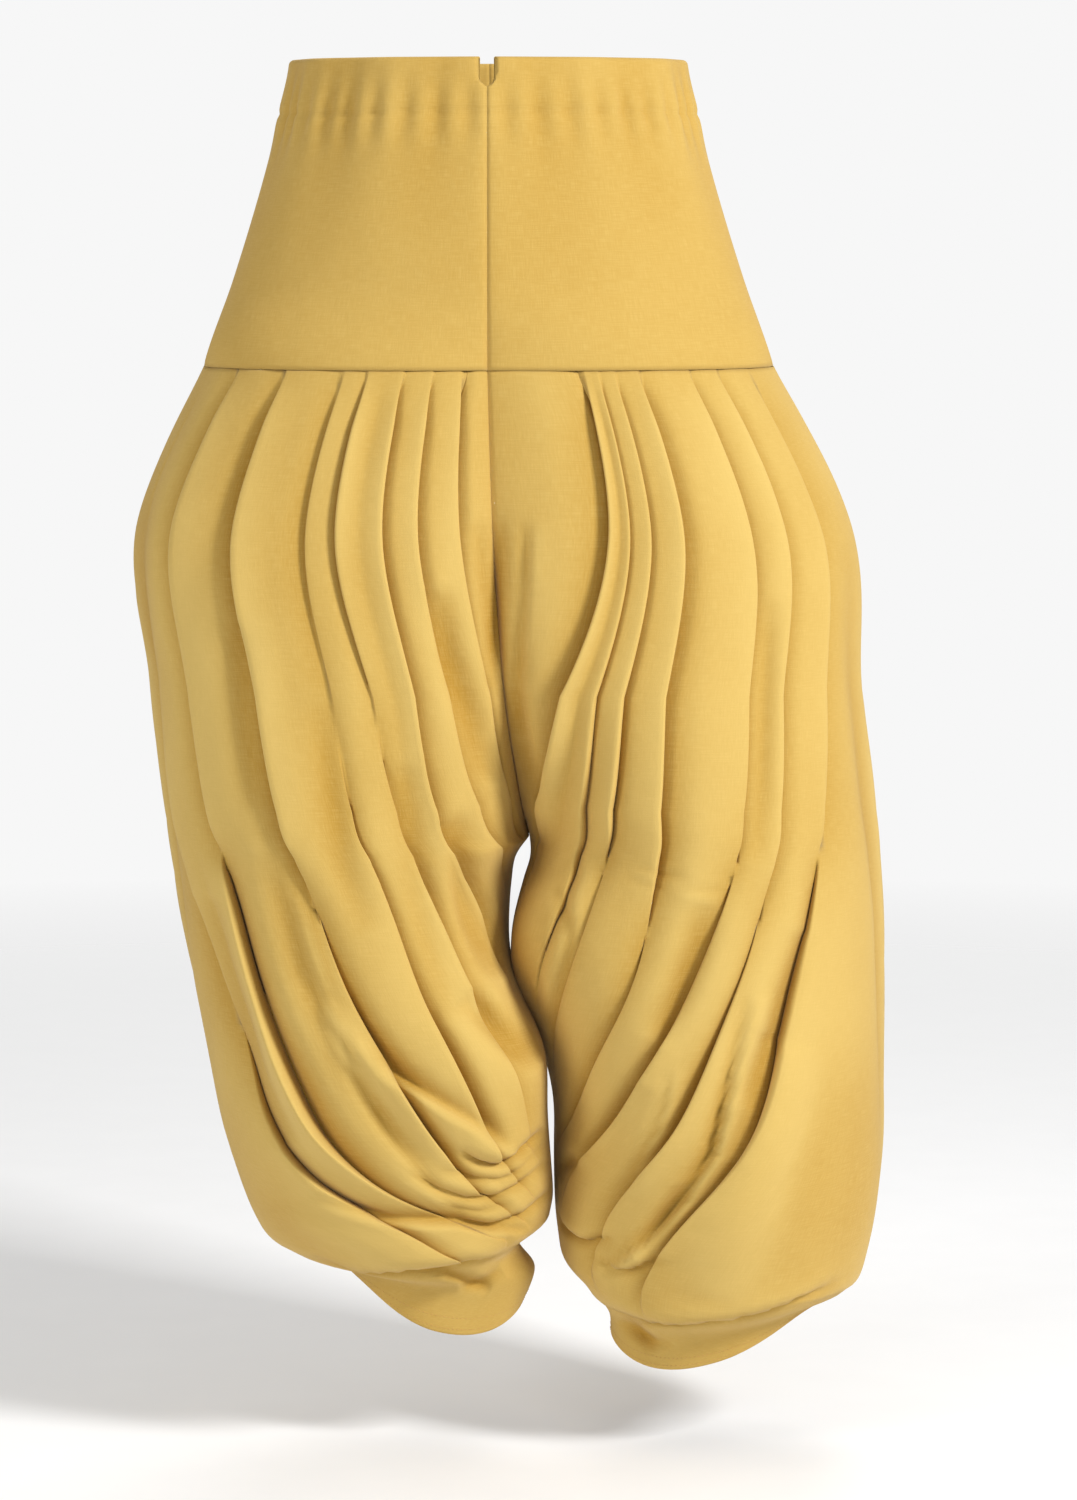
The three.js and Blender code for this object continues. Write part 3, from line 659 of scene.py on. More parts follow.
    def nose(self, lap: Lap) -> list[tuple[float, float]]:
        """Columns over one fold, from the lower strip round the fold's edge to the other."""
        columns = []
        for i in range(self.nose_columns):
            w = i / (self.nose_columns - 1) - 0.5
            share = (1 + math.sin(math.pi * w)) / 2
            angle = lap.first + (lap.second - lap.first) * share - lap.bulge * math.cos(math.pi * w)
            columns.append((angle, -lap.rise / 2 + lap.rise * share - lap.crease))
        return columns

    def row(self, section: Section, laps: list[Lap]) -> tuple[list[tuple[float, float]], list[int]]:
        """All columns of one row, and the places where a piece ends and the next begins."""
        start = (section.start_front, 0.0, 0.0)
        end = (2 * math.pi - section.start_back, 0.0, 0.0)
        _, pace = section.outward(np.array([math.pi / 2]))
        columns = [(start[0], 0.0)]
        cuts = []
        before = start
        count = self.gusset_columns
        for i, lap in enumerate(laps):
            nose = self.nose(lap)
            low = (lap.first, lap.rise, lap.crease)
            if i == 0:
                low = (lap.first - lap.seam_shift, lap.rise, lap.crease)
                columns += self.strip(before, low, count, float(pace[0]))
                columns += [(low[0], nose[0][1])] * 2
                cuts.append(len(columns) - 1)
            else:
                columns += self.strip(before, low, count, float(pace[0]))
            columns += nose
            before = (lap.second, lap.rise, lap.crease)
            count = lap.columns
            if i == len(laps) - 1:
                before = (lap.second + lap.seam_shift, lap.rise, lap.crease)
                columns += [(before[0], nose[-1][1])] * 2
                cuts.append(len(columns) - 1)
                count = self.gusset_columns
        columns += self.strip(before, end, count, float(pace[0]))
        columns.append((end[0], 0.0))
        return columns, cuts

    def places(self) -> list[float]:
        """Places of all rows between the table's rows, from the belt to the hem."""
        places = []
        for i, rows in enumerate(ROWS_AFTER):
            places += [i + k / rows for k in range(rows)]
        return places + [float(len(ROWS_AFTER))]

    def fold_rows(self) -> list[tuple[Section, list[Lap]]]:
        """The section and the pleats of every row."""
        places = self.places()
        sections = [self.section(t) for t in places]
        angles = self.fold_angles(sections, places)
        return [(section, self.laps(section, t, row)) for section, t, row in zip(sections, places, angles)]

    def surface(self) -> tuple[np.ndarray, np.ndarray, np.ndarray, list[int]]:
        """The whole leg as rows of points in millimetres.

        Returns:
            The points, the outward directions, the heights off the sections and the piece ends.
        """
        points = []
        normals = []
        heights = []
        cuts: list[int] = []
        for section, laps in self.fold_rows():
            columns, cuts = self.row(section, laps)
            angles = np.array([column[0] for column in columns])
            height = np.array([column[1] for column in columns])
            normal, _ = section.outward(angles)
            points.append(section.points(angles) + normal * height[:, None])
            normals.append(normal)
            heights.append(height)
        return np.array(points), np.array(normals), np.array(heights), cuts

    def seen_from(self, face: Face, points: np.ndarray, normals: np.ndarray) -> tuple[np.ndarray, np.ndarray]:
        """The points flat as one side of the garment shows them, and how far they face that side."""
        if face is Face.OUTER:
            return points[..., [1, 2]], normals[..., 0] * self.side.value
        if face is Face.FRONT:
            return points[..., [0, 2]], -normals[..., 1]
        return points[..., [0, 2]], normals[..., 1]

    def crease_offsets(self, points: np.ndarray, normals: np.ndarray) -> np.ndarray:
        """How far each point moves out and down for the creases drawn on this leg.

        Args:
            points: The leg's points in millimetres.
            normals: Its outward directions.

        Returns:
            Two distances for each point.
        """
        offsets = np.zeros((*points.shape[:2], 2))
        for crease in CREASES:
            if crease.side in (None, self.side):
                offsets += crease.offsets(*self.seen_from(crease.face, points, normals), self.side.value)
        return offsets

    def unevenness(self, points: np.ndarray) -> np.ndarray:
        """The slight ups and downs that worn cloth has between its folds."""
        x, y, z = points[..., 0], points[..., 1], points[..., 2]
        way = self.side.value
        slow = np.sin(x / 31 + z / 74 + way) * np.sin(y / 36 - z / 95 + 2 * way)
        quick = np.sin(x / 13 - z / 39 + 3 * way) * np.sin(y / 17 + z / 52)
        calm = smoothstep(-232, -300, z) * (1 - self.near_inner_seam(points, self.calm_near_seam))
        return (self.slow_swell * slow + self.quick_swell * quick) * calm

    def near_inner_seam(self, points: np.ndarray, width: float) -> np.ndarray:
        """How near each point is to its row's ends, from 0 to 1."""
        away = [np.linalg.norm(points - points[:, [edge]], axis=2) for edge in (0, -1)]
        return np.exp(-(np.minimum(*away) / width) ** 2)

    def eased(self, points: np.ndarray) -> np.ndarray:
        """The points with the wobble between rows smoothed away below the crotch."""
        first = sum(ROWS_AFTER[:CROTCH])
        last = sum(ROWS_AFTER[:BAG])
        row = np.arange(len(points))
        share = smoothstep(first, first + 10, row) * (1 - smoothstep(last - 6, last + 4, row))
        return points + (softened(points, self.row_softness) - points) * share[:, None, None]

    def build(self) -> list[bpy.types.Object]:
        """Make the leg's three pieces of cloth, each standing for its own solid."""
        points, normals, heights, cuts = self.surface()
        points = self.eased(points)
        creases = self.crease_offsets(points, normals)
        offsets = creases[..., 0] + self.unevenness(points)
        above = smoothstep(0, 12, np.array([section.rise for section, _ in self.fold_rows()]))
        sideways = 1 - above[:, None] * self.near_inner_seam(points, self.level_near_seam)
        normals = normals * np.stack([sideways, np.ones_like(sideways), np.ones_like(sideways)], axis=-1)
        points = points + normals * offsets[..., None]
        points[..., 2] -= creases[..., 1]
        # These values paint shade into the cloth's colour where it lies below the cloth round it, and light
        # where it stands above.
        heights = self.fold_shade(heights + offsets)
        bounds = [0, cuts[0], cuts[1], points.shape[1]]
        names = ("gusset_front", "leg_panel", "gusset_back")
        pieces = []
        for name, low, high in zip(names, bounds, bounds[1:]):
            piece = Cloth(f"{name}_{self.name}", points[:, low:high].copy(),
                          normals[:, low:high], heights[:, low:high])
            piece.roll_edges()
            piece.turn_hem()
            pieces.append(piece.build())
        pieces.append(self.hem_stitches(points, normals))
        return pieces

    def fold_shade(self, heights: np.ndarray) -> np.ndarray:
        """Heights that also say how far each point lies below the cloth round it, for the shade painted into
        the cloth's colour in its hollows and the light painted on its ridges.
        """
        blurred = heights
        for axis, softness in enumerate(self.shade_softness):
            weights = bell(softness)
            widths = [(0, 0), (0, 0)]
            widths[axis] = (len(weights) // 2, len(weights) // 2)
            padded = np.pad(blurred, widths, mode="edge")
            blurred = np.apply_along_axis(np.convolve, axis, padded, weights, "valid")
        shade = self.shade_own * heights + self.shade_below * (heights - blurred)
        return np.clip(shade, -self.shade_most, self.shade_most)

    def hem_stitches(self, points: np.ndarray, normals: np.ndarray) -> bpy.types.Object:
        """Two rows of stitches round the hem."""
        rows = [(points[row], normals[row]) for row in self.stitched_rows]
        return Stitching(f"hem_stitches_{self.name}").build(rows)


@dataclass
class Cloth:
    """One cut piece of cloth as a grid of points in millimetres, from row to row."""

    name: str
    points: np.ndarray
    normals: np.ndarray
    heights: np.ndarray

    def roll_edges(self) -> None:
        """Turn the two long edges in a little, as a pressed seam does, and part them."""
        for edge, inward in ((0, 1), (-1, -2)):
            along = self.points[:, inward] - self.points[:, edge]
            along /= np.maximum(1e-6, np.linalg.norm(along, axis=1))[:, None]
            self.points[:, edge] += along * SEAM_GAP / 2
        for edge in (0, -1):
            away = np.linalg.norm(self.points - self.points[:, [edge]], axis=2)
            near = np.exp(-(away / SEAM_ROLL_WIDTH) ** 2)
            self.points -= self.normals * (SEAM_ROLL * near)[..., None]

    def turn_hem(self) -> None:
        """Turn the last row in and up, as a sewn hem does."""
        last = self.points[-1]
        normal = self.normals[-1]
        rows = [last - normal * inset + np.array([0.0, 0.0, up]) for inset, up in HEM_TURN]
        self.points = np.concatenate([self.points, rows])
        self.normals = np.concatenate([self.normals, np.repeat(self.normals[-1:], len(rows), axis=0)])
        self.heights = np.concatenate([self.heights, np.repeat(self.heights[-1:], len(rows), axis=0)])

    def build(self) -> bpy.types.Object:
        """Make the mesh with its cloth coordinates and fold heights, which paint shade into its hollows and
        light onto its ridges, and give it its thickness.
        """
        rows, columns = self.points.shape[:2]
        mesh = bpy.data.meshes.new(self.name + "_cloth")
        index = np.arange(rows * columns).reshape(rows, columns)
        quads = np.stack([index[:-1, :-1], index[1:, :-1], index[1:, 1:], index[:-1, 1:]], axis=-1)
        quads = quads.reshape(-1, 4)
        first = (self.points[1, 0] - self.points[0, 0], self.points[0, 1] - self.points[0, 0])
        if np.dot(np.cross(first[0], first[1]), self.normals[0, 0]) < 0:
            quads = quads[:, ::-1]
        mesh.from_pydata((self.points.reshape(-1, 3) * MM).tolist(), [], quads.tolist())
        across = np.linalg.norm(np.diff(self.points, axis=1), axis=2).mean(axis=0)
        down = np.linalg.norm(np.diff(self.points, axis=0), axis=2).mean(axis=1)
        u = np.concatenate([[0], np.cumsum(across)]) * MM
        v = np.concatenate([[0], np.cumsum(down)]) * MM
        layer = mesh.uv_layers.new(name="cloth")
        corners = np.zeros(len(mesh.loops), np.int32)
        mesh.loops.foreach_get("vertex_index", corners)
        layer.data.foreach_set("uv", np.stack([u[corners % columns], v[corners // columns]], axis=1).ravel())
        # The fold values let the material paint shade into hollows and light onto ridges.
        fold = mesh.attributes.new("fold", "FLOAT", "POINT")
        fold.data.foreach_set("value", self.heights.ravel().astype(np.float32))
        mesh.polygons.foreach_set("use_smooth", [True] * len(mesh.polygons))
        mesh.update()
        piece = bpy.data.objects.new(self.name + "_cloth", mesh)
        bpy.context.scene.collection.objects.link(piece)
        thickness = piece.modifiers.new("thickness", "SOLIDIFY")
        thickness.thickness = CLOTH_THICKNESS * MM
        thickness.offset = -1
        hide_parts(self.name)
        return piece


@dataclass
class Belt:
    """The fitted belt: two halves with a turned-over drawstring casing on top."""

    height: float = 230.0
    waist_half_width: float = 150.0
    waist_half_depth: float = 108.0
    casing_height: float = 40.0
    casing_room: float = 4.4
    wall: float = 1.2
    lower_half_width: float = 216.0
    lower_front: float = 112.0
    lower_back: float = 106.0
    slit_half_width: float = 6.0
    gathers: int = 6
    gather_depth: float = 3.0
    small_gathers: float = 3.3
    small_gather_share: float = 0.6
    small_gather_reach: float = 22.0
    pinch_depth: float = 1.4
    pinch_reach: float = 3.0
    flare: float = 1.25
    rounding: float = 3.0
    columns: int = 150
    rows: int = 46
    casing_rows: int = 10
    rounding_rows: int = 10

    def profile(self) -> list[tuple[float, float]]:
        """Places down the belt: inset and height, from the lower edge over the top and in."""
        inside = self.casing_room + self.wall
        places = []
        casing = self.casing_height - self.rounding
        for i in range(self.rows):
            places.append((0.0, -self.height + (self.height - self.casing_height) * i / self.rows))
        for i in range(self.casing_rows):
            places.append((0.0, -self.casing_height + casing * i / self.casing_rows))
        for i in range(self.rounding_rows + 1):
            turn = math.pi * i / self.rounding_rows
            places.append((inside * (1 - math.cos(turn)) / 2, self.rounding * (math.sin(turn) - 1)))
        for i in range(1, self.casing_rows + 1):
            places.append((inside, -self.rounding - casing * i / self.casing_rows))
        return places

    def ring(self, side: Side, inset: float, z: float) -> tuple[np.ndarray, np.ndarray, np.ndarray]:
        """Points, outward directions and gather heights of one half at a height."""
        down = -z / self.height
        spread = down ** self.flare if down > 0 else 0.0
        fullness = 1 - float(smoothstep(0.15, 0.8, down))
        share = np.linspace(0, 1, self.columns)
        angle = math.pi / 2 + math.pi * share
        width = self.waist_half_width + (self.lower_half_width - self.waist_half_width) * spread
        lowest = np.where(np.sin(angle) > 0, self.lower_front, self.lower_back)
        depth = self.waist_half_depth + (lowest - self.waist_half_depth) * spread
        wave = np.cos(2 * math.pi * self.gathers * share) - 1
        small = np.sin(2 * math.pi * (self.gathers * self.small_gathers * share + 0.2))
        above_line = z + self.casing_height
        small *= self.small_gather_share * math.exp(-(above_line / self.small_gather_reach) ** 2)
        height = self.gather_depth * fullness * (wave / 2 + small)
        pinch = self.pinch_depth * math.exp(-(above_line / self.pinch_reach) ** 2)
        off = height - pinch - inset
        across = -np.cos(angle) * (width + off)
        y = -np.sin(angle) * (depth + off)
        met = float(smoothstep(0.72, 1.0, down)) * (np.sin(angle) > 0)
        y += met * (self.leg_edge(across) - y)
        normal = np.stack([-side.value * np.cos(angle) / width, -np.sin(angle) / depth,
                           np.zeros_like(angle)], axis=-1)
        normal /= np.linalg.norm(normal, axis=1)[:, None]
        points = np.stack([side.value * across, y, np.full_like(angle, z)], axis=-1)
        slit_end = -self.casing_height / 2
        if z >= slit_end:
            short = self.slit_half_width * float(smoothstep(slit_end, slit_end + 3, z))
            points[:, 0] = side.value * np.maximum(np.abs(points[:, 0]), np.where(share < 0.5, short, 0))
        return points, normal, height

    def leg_edge(self, across: np.ndarray) -> np.ndarray:
        """Y of the front halves' upper edge at distances from the middle plane."""
        top = Section(side=1, **dict(zip(SECTION_COLUMNS, LEFT_SECTIONS[0][1:])))
        cos = (top.outer - across) / top.half(top.front) - 1
        return -top.front * np.sqrt(np.clip(1 - cos * cos, 0.0, 1.0))

    def build(self) -> list[bpy.types.Object]:
        """Make the two halves of the belt and their stitches."""
        pieces = []
        rows = []
        for side in Side:
            rings = [self.ring(side, inset, z) for inset, z in self.profile()]
            rings.reverse()
            # The gather heights also go in as fold values, which paint shade into the gathers' hollows and
            # light onto their crests.
            piece = Cloth(f"belt_{side.name.lower()}", np.array([r[0] for r in rings]),
                          np.array([r[1] for r in rings]), np.array([r[2] for r in rings]))
            rows += [(piece.points[i], piece.normals[i]) for i in (-2, -3, self.casing_line(piece.points))]
            piece.roll_edges()
            pieces.append(piece.build())
        pieces.append(Stitching("belt_stitches").build(rows))
        return pieces

    def casing_line(self, points: np.ndarray) -> int:
        """The row on the outer face at the casing's lower edge."""
        outer = self.casing_rows + self.rounding_rows
        return outer + int(np.argmin(np.abs(points[outer:, 0, 2] + self.casing_height)))


@dataclass
class Stitching:
    """Rows of machine stitches that lie on the cloth, in millimetres."""

    name: str
    length: float = 2.5
    pitch: float = 3.3
    thickness: float = 0.55
    flatness: float = 0.8
    lift: float = 0.3

    def stitch(self) -> tuple[np.ndarray, list[tuple[int, ...]]]:
        """Model one stitch: a ball drawn out, with its ends dipping into the cloth.

        Returns:
            Its points and faces.
        """
        bpy.ops.object.select_all(action="DESELECT")
        bpy.ops.mesh.primitive_uv_sphere_add(segments=6, ring_count=6, radius=0.5,
                                             rotation=(0, math.pi / 2, 0))
        ball = bpy.context.object
        bpy.ops.object.mode_set(mode="EDIT")
        bpy.ops.mesh.select_all(action="SELECT")
        bpy.ops.transform.resize(value=(self.length, self.thickness, self.thickness * self.flatness))
        bpy.ops.object.mode_set(mode="OBJECT")
        bpy.ops.object.transform_apply(location=True, rotation=True, scale=True)
        points = np.array([v.co for v in ball.data.vertices], float)
        longest = int(np.argmax(np.ptp(points, axis=0)))
        points = points[:, [longest, (longest + 1) % 3, (longest + 2) % 3]]
        points[:, 2] -= self.thickness * self.flatness * (points[:, 0] / (self.length / 2)) ** 2
        faces = [tuple(face.vertices) for face in ball.data.polygons]
        bpy.data.objects.remove(ball)
        return points, faces

    def build(self, rows: list[tuple[np.ndarray, np.ndarray]]) -> bpy.types.Object:
        """Lay stitches along rows of points, each row with its outward directions.

        Args:
            rows: Points and outward directions of each row.

        Returns:
            The stitches as one joined mesh.
        """
        points, faces = self.stitch()
        placed = []
        joined: list[tuple[int, ...]] = []
        for line, normals in rows:
            steps = np.linalg.norm(np.diff(line, axis=0), axis=1)
            along = np.concatenate([[0], np.cumsum(steps)])
            for s in np.arange(self.pitch, along[-1] - self.pitch, self.pitch):
                here = np.array([np.interp(s, along, line[:, k]) for k in range(3)])
                ahead = np.array([np.interp(s + 1, along, line[:, k]) for k in range(3)])
                normal = np.array([np.interp(s, along, normals[:, k]) for k in range(3)])
                run = (ahead - here) / max(1e-6, float(np.linalg.norm(ahead - here)))
                normal -= run * float(normal @ run)
                normal /= np.linalg.norm(normal)
                frame_of = np.stack([run, np.cross(normal, run), normal])
                joined += [tuple(v + len(placed) * len(points) for v in face) for face in faces]
                placed.append(here + normal * self.thickness * self.lift + points @ frame_of)
        mesh = bpy.data.meshes.new(self.name)
        mesh.from_pydata((np.concatenate(placed) * MM).tolist(), [], joined)
        mesh.polygons.foreach_set("use_smooth", [True] * len(mesh.polygons))
        mesh.update()
        piece = bpy.data.objects.new(self.name, mesh)
        bpy.context.scene.collection.objects.link(piece)
        return piece


class Value:
    """A shader socket that takes part in sums, with a Math node for each step."""

    def __init__(self, nodes: Shader, socket: bpy.types.NodeSocket) -> None:
        """Keep the shader that the socket is part of."""
        self.nodes = nodes
        self.socket = socket

    def _math(self, operation: str, *inputs: Any) -> Value:
        """Add a Math node on this shader."""
        return self.nodes.add("ShaderNodeMath", {"operation": operation}, *inputs)

    def __add__(self, other: Any) -> Value:
        """Sum."""
        return self._math("ADD", self, other)

    def __radd__(self, other: Any) -> Value:
        """Sum with a number first."""
        return self._math("ADD", other, self)

    def __sub__(self, other: Any) -> Value:
        """Difference."""
        return self._math("SUBTRACT", self, other)

    def __mul__(self, other: Any) -> Value:
        """Product."""
        return self._math("MULTIPLY", self, other)

    def sine(self) -> Value:
        """Sine of the value in radians."""
        return self._math("SINE", self)

    def clamped(self) -> Value:
        """The value kept between 0 and 1."""
        return self.nodes.add("ShaderNodeClamp", {}, self)


class Shader:
    """The node tree of one material, with one method that adds any node."""

    def __init__(self, name: str) -> None:
        """Make an empty material with its Principled shader.

        Args:
            name: The material's name.
        """
        self.material = bpy.data.materials.new(name)
        self.material.use_nodes = True
        self.tree = self.material.node_tree
        self.tree.nodes.clear()
        self.output = self.tree.nodes.new("ShaderNodeOutputMaterial")
        self.surface = self.tree.nodes.new("ShaderNodeBsdfPrincipled")
        self.tree.links.new(self.surface.outputs[0], self.output.inputs["Surface"])

    def add(self, kind: str, settings: dict[str, Any], *inputs: Any,
            out: int | str = 0, **named: Any) -> Value:
        """Add a node.

        Args:
            kind: The node's type.
            settings: Its settings, set first.
            inputs: Values or links of its first sockets, in order.
            out: The output to hand back.
            named: Values or links of sockets by name.

        Returns:
            The node's output.
        """
        node = self.tree.nodes.new(kind)
        for key, value in settings.items():
            setattr(node, key, value)
        for key, value in [*enumerate(inputs), *named.items()]:
            self.put(node.inputs[key if isinstance(key, int) else key.replace("_", " ")], value)
        return Value(self, node.outputs[out])

    def put(self, socket: bpy.types.NodeSocket, value: Any) -> None:
        """Set a socket, or link it where the value is one."""
        if isinstance(value, Value):
            self.tree.links.new(value.socket, socket)
        else:
            socket.default_value = value

    def blend(self, share: Any, first: Any, second: Any) -> Value:
        """Mix two colours."""
        node = self.tree.nodes.new("ShaderNodeMix")
        node.data_type = "RGBA"
        self.put(node.inputs[0], share)
        self.put(node.inputs[6], first)
        self.put(node.inputs[7], second)
        return Value(self, node.outputs[2])


@dataclass(frozen=True)
class Cotton:
    """Plain-woven cotton with a soft slub and a slight nap."""

    name: str = "mustard_cotton"
    # The first two colours are a lit and a shaded copy of the cloth's colour. The fold heights mix them as
    # painted light and shade, and a cloud mixes them as random tone. The third colour is the slubs' own paler
    # tone.
    light: tuple[float, float, float, float] = (0.600, 0.415, 0.118, 1)
    shaded_colour: tuple[float, float, float, float] = (0.430, 0.240, 0.030, 1)
    faded: tuple[float, float, float, float] = (0.690, 0.495, 0.160, 1)
    thread: float = 0.00062
    roughness: float = 0.88
    roughness_spread: float = 0.12
    sheen: float = 0.22
    sheen_roughness: float = 0.45
    sheen_tint: tuple[float, float, float, float] = (1.0, 0.86, 0.62, 1)
    specular: float = 0.25
    warp_scale: tuple[float, float, float] = (1500.0, 90.0, 1.0)
    weft_scale: tuple[float, float, float] = (80.0, 1300.0, 1.0)
    cloud_scale: float = 7.0
    cloud_share: float = 0.5
    crumple_scale: float = 38.0
    # How strongly the fold heights paint shade into hollows and light onto ridges.
    painted_shade_share: float = 0.055
    slub_from: float = 0.17
    weave_height: float = 0.25
    weft_height: float = 0.8

    def material(self) -> bpy.types.Material:
        """Build the cloth's material from its own coordinates and fold heights, with shade painted into its
        colour in the hollows and light on the ridges.
        """
        s = Shader(self.name)
        uv = s.add("ShaderNodeUVMap", {"uv_map": "cloth"})
        place = s.add("ShaderNodeTexCoord", {}, out="Object")
        u = s.add("ShaderNodeSeparateXYZ", {}, uv, out=0)
        v = s.add("ShaderNodeSeparateXYZ", {}, uv, out=1)
        turns = 2 * math.pi / self.thread
        weave = (u * turns).sine() * (v * turns).sine()
        warp = s.add("ShaderNodeMapping", {}, uv, Scale=self.warp_scale)
        weft = s.add("ShaderNodeMapping", {}, uv, Scale=self.weft_scale)
        warp_slub = s.add("ShaderNodeTexNoise", {}, warp, Scale=1.0, Detail=2.0)
        weft_slub = s.add("ShaderNodeTexNoise", {}, weft, Scale=1.0, Detail=2.0)
        cloud = s.add("ShaderNodeTexNoise", {}, place, Scale=self.cloud_scale, Detail=3.0)
        crumple = s.add("ShaderNodeTexNoise", {}, place, Scale=self.crumple_scale, Detail=4.0)
        fold = s.add("ShaderNodeAttribute", {"attribute_name": "fold"}, out="Fac")
        # Painted shade and random tone: hollows lean to the shaded colour, ridges to the lit one, and the
        # cloud varies both at random.
        painted_shade_and_tone = (fold * self.painted_shade_share + 0.5 + (cloud - 0.5) * self.cloud_share).clamped()
        slub = (warp_slub * weft_slub - self.slub_from).clamped()
        base = s.blend(slub, s.blend(painted_shade_and_tone, self.shaded_colour, self.light), self.faded)
        for socket, value in (("Base Color", base),
                              ("Roughness", self.roughness + (cloud - 0.5) * self.roughness_spread),
                              ("Sheen Weight", self.sheen), ("Sheen Roughness", self.sheen_roughness),
                              ("Sheen Tint", self.sheen_tint), ("Specular IOR Level", self.specular)):
            s.put(s.surface.inputs[socket], value)
        height = weave * self.weave_height + warp_slub + weft_slub * self.weft_height
        fine = s.add("ShaderNodeBump", {}, Strength=0.35, Distance=0.00035, Height=height)
        soft = s.add("ShaderNodeBump", {}, Strength=0.5, Distance=0.0016, Height=crumple, Normal=fine)
        s.put(s.surface.inputs["Normal"], soft)
        return s.material


@dataclass(frozen=True)
class Thread:
    """Sewing thread a shade deeper than the cloth."""

    name: str = "sewing_thread"
    colour: tuple[float, float, float, float] = (0.60, 0.36, 0.10, 1)
    shade: tuple[float, float, float, float] = (0.46, 0.26, 0.06, 1)

    def material(self) -> bpy.types.Material:
        """Build the thread's material with the ply of its twist."""
        s = Shader(self.name)
        place = s.add("ShaderNodeTexCoord", {}, out="Object")
        ply = s.add("ShaderNodeTexNoise", {}, place, Scale=1800.0, Detail=1.0)
        s.put(s.surface.inputs["Base Color"], s.blend(ply, self.shade, self.colour))
        s.put(s.surface.inputs["Roughness"], 0.6 + ply * 0.1)
        return s.material


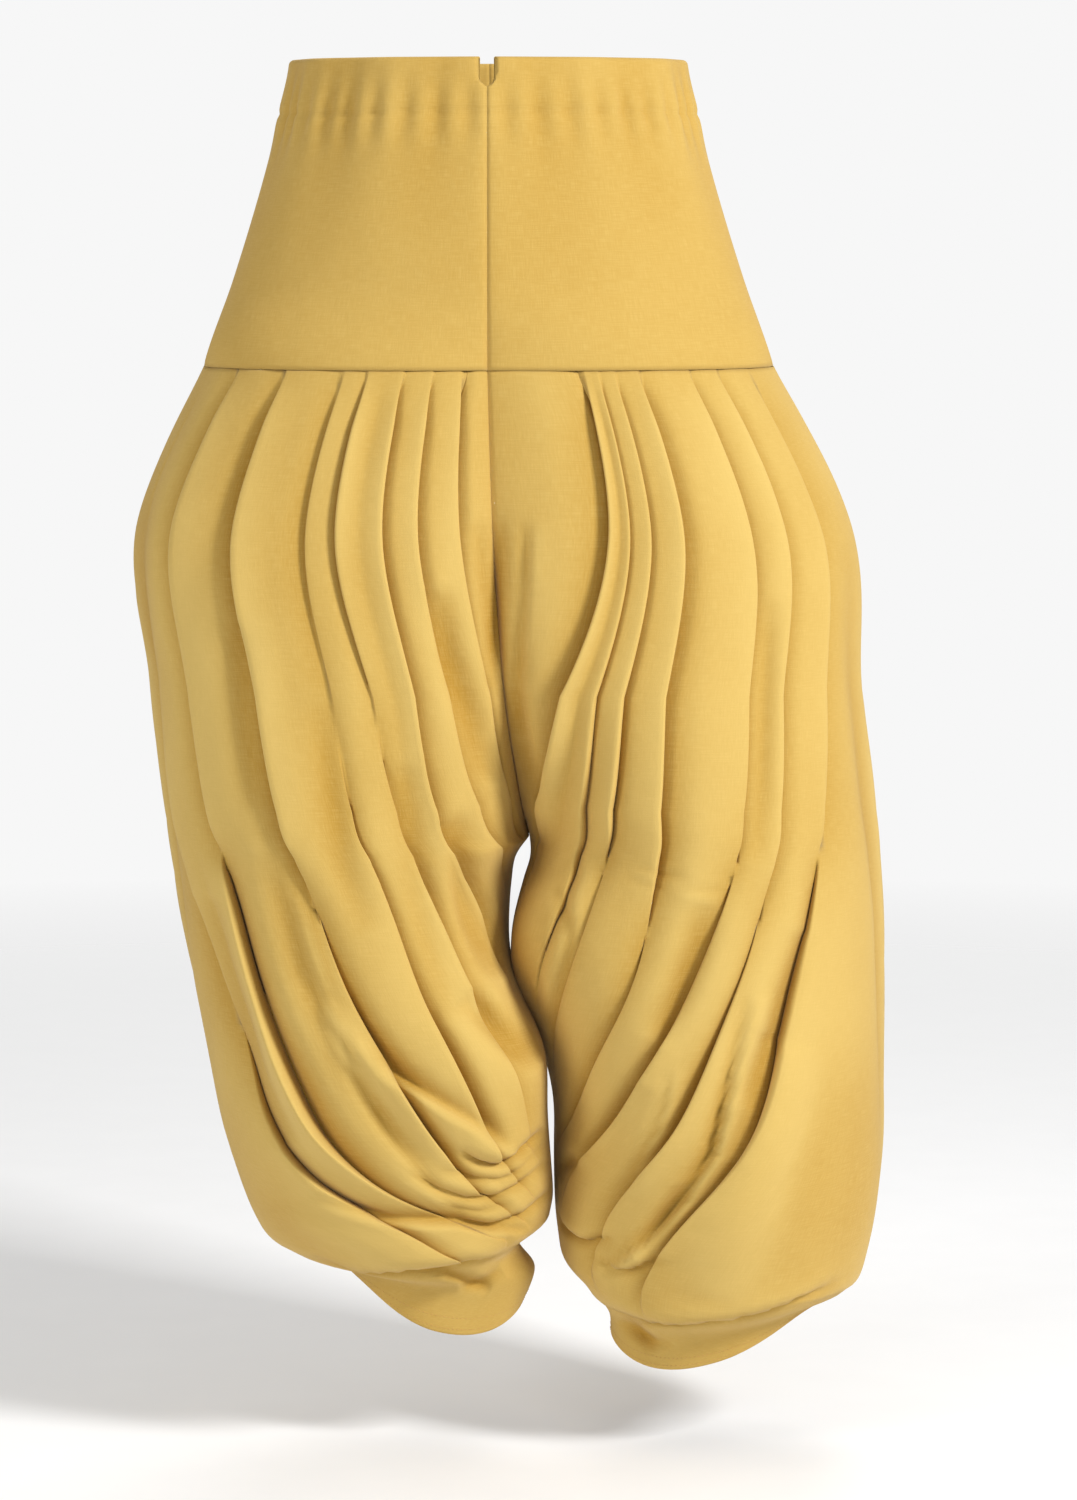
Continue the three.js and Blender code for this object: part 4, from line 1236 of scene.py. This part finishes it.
@dataclass
class Studio:
    """Pale floor, soft lights and the camera. A lamp has a place, a size and a power in watts."""

    floor_height: float = -1.062
    camera_place: tuple[float, float, float] = (0.038, -3.8, -0.1)
    camera_tilt: float = math.degrees(math.atan(425 / 3800))
    sensor: float = 36.0
    lens: float = 36 * 4970 / 1077
    sky: float = 0.37
    backdrop: float = 0.93
    floor_radius: float = 7.0
    floor_fades: tuple[float, float] = (0.9, 3.2)
    floor_shades: tuple[float, float] = (0.89, 0.92)
    floor_roughness: float = 0.9
    lamps: tuple[tuple[tuple[float, float, float], float, float], ...] = (
        ((2.2, -1.9, 1.1), 0.7, 112),
        ((-2.4, -1.8, 0.5), 1.0, 35),
        ((0.3, 1.9, 1.5), 1.6, 26),
    )
    target: Vector = field(default_factory=lambda: Vector((0.0, 0.0, -0.55)))

    def camera(self) -> None:
        """Make the camera at the photograph's viewing angle."""
        turn = (math.radians(90 - self.camera_tilt), 0, 0)
        bpy.ops.object.camera_add(location=self.camera_place, rotation=turn)
        camera = bpy.context.object
        camera.data.sensor_fit = "HORIZONTAL"
        camera.data.sensor_width = self.sensor
        camera.data.lens = self.lens
        bpy.context.scene.camera = camera

    def light(self, place: tuple[float, float, float], size: float, power: float) -> None:
        """Hang one soft light that faces the garment.

        Args:
            place: Where it hangs.
            size: The side of its square.
            power: Its power in watts.
        """
        turn = (self.target - Vector(place)).to_track_quat("-Z", "Y").to_euler()
        bpy.ops.object.light_add(type="AREA", location=place, rotation=turn)
        light = bpy.context.object
        light.data.size = size
        light.data.energy = power

    def build(self) -> None:
        """Make the floor, the sky and the lights."""
        bpy.ops.mesh.primitive_circle_add(vertices=96, radius=self.floor_radius, fill_type="NGON",
                                          location=(0, 0, self.floor_height))
        floor = bpy.context.object
        floor.name = "floor"
        s = Shader("pale_floor")
        place = s.add("ShaderNodeTexCoord", {}, out="Object")
        away = s.add("ShaderNodeVectorMath", {"operation": "LENGTH"}, place, out="Value")
        grain = s.add("ShaderNodeTexNoise", {}, place, Scale=14.0)
        dark, pale = ((shade, shade, shade, 1) for shade in self.floor_shades)
        s.put(s.surface.inputs["Base Color"], s.blend(grain, dark, pale))
        s.put(s.surface.inputs["Roughness"], self.floor_roughness)
        s.put(s.surface.inputs["Alpha"], s.add("ShaderNodeMapRange", {}, away, *self.floor_fades, 1.0, 0.0))
        floor.data.materials.append(s.material)
        world = bpy.data.worlds.new("studio")
        bpy.context.scene.world = world
        world.use_nodes = True
        tree = world.node_tree
        back = tree.nodes["Background"]
        back.inputs[0].default_value = (1.0, 1.0, 1.0, 1)
        seen = tree.nodes.new("ShaderNodeLightPath")
        bright = tree.nodes.new("ShaderNodeMapRange")
        bright.inputs["To Min"].default_value = self.sky
        bright.inputs["To Max"].default_value = self.backdrop
        tree.links.new(seen.outputs["Is Camera Ray"], bright.inputs["Value"])
        tree.links.new(bright.outputs["Result"], back.inputs[1])
        for lamp in self.lamps:
            self.light(*lamp)
        bpy.context.scene.view_settings.view_transform = "Standard"


@dataclass(frozen=True)
class Cut:
    """The flat cut of what shows of a piece, in metres and square metres."""

    width: float
    length: float
    area: float


# A belt half widens to its seam, a gusset is a long wedge and a leg panel narrows to its hem.
CUTS = {
    "belt": Cut(0.53, 0.27, 0.126),
    "gusset_front_right": Cut(0.05, 0.76, 0.0215),
    "gusset_front_left": Cut(0.09, 0.76, 0.045),
    "gusset_back": Cut(0.09, 0.76, 0.045),
    "leg_panel": Cut(1.20, 0.80, 0.66),
}


def dress(pieces: list[bpy.types.Object], cotton: bpy.types.Material, thread: bpy.types.Material) -> None:
    """Give each piece its finish and its place on the body, look up the cut of its cloth, and log its faces
    and area.

    Args:
        pieces: Cloth and stitches.
        cotton: The cloth's finish.
        thread: The stitches' finish.
    """
    for piece in pieces:
        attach(piece, BODY)
        if "stitches" in piece.name:
            piece.data.materials.append(thread)
            LOG.info("%s: %d faces", piece.name, len(piece.data.polygons))
            continue
        piece.data.materials.append(cotton)
        area = sum(face.area for face in piece.data.polygons)
        cut = next(CUTS[key] for key in CUTS if piece.name.startswith(key))
        LOG.info("%s: %d faces, %.4f square metres", piece.name, len(piece.data.polygons), area)


def main() -> None:
    """Build the salwar piece by piece and place it in its studio."""
    logging.basicConfig(level=logging.INFO, format="%(message)s")
    bpy.ops.object.select_all(action="DESELECT")
    studio = Studio()
    studio.camera()
    studio.build()
    cotton = Cotton().material()
    pieces = Belt().build()
    for leg in (Leg(Side.RIGHT, RIGHT_SECTIONS, RIGHT_FRONT_PLEATS),
                Leg(Side.LEFT, LEFT_SECTIONS, LEFT_FRONT_PLEATS)):
        pieces += leg.build()
    dress(pieces, cotton, Thread().material())


if __name__ == "__main__":
    main()
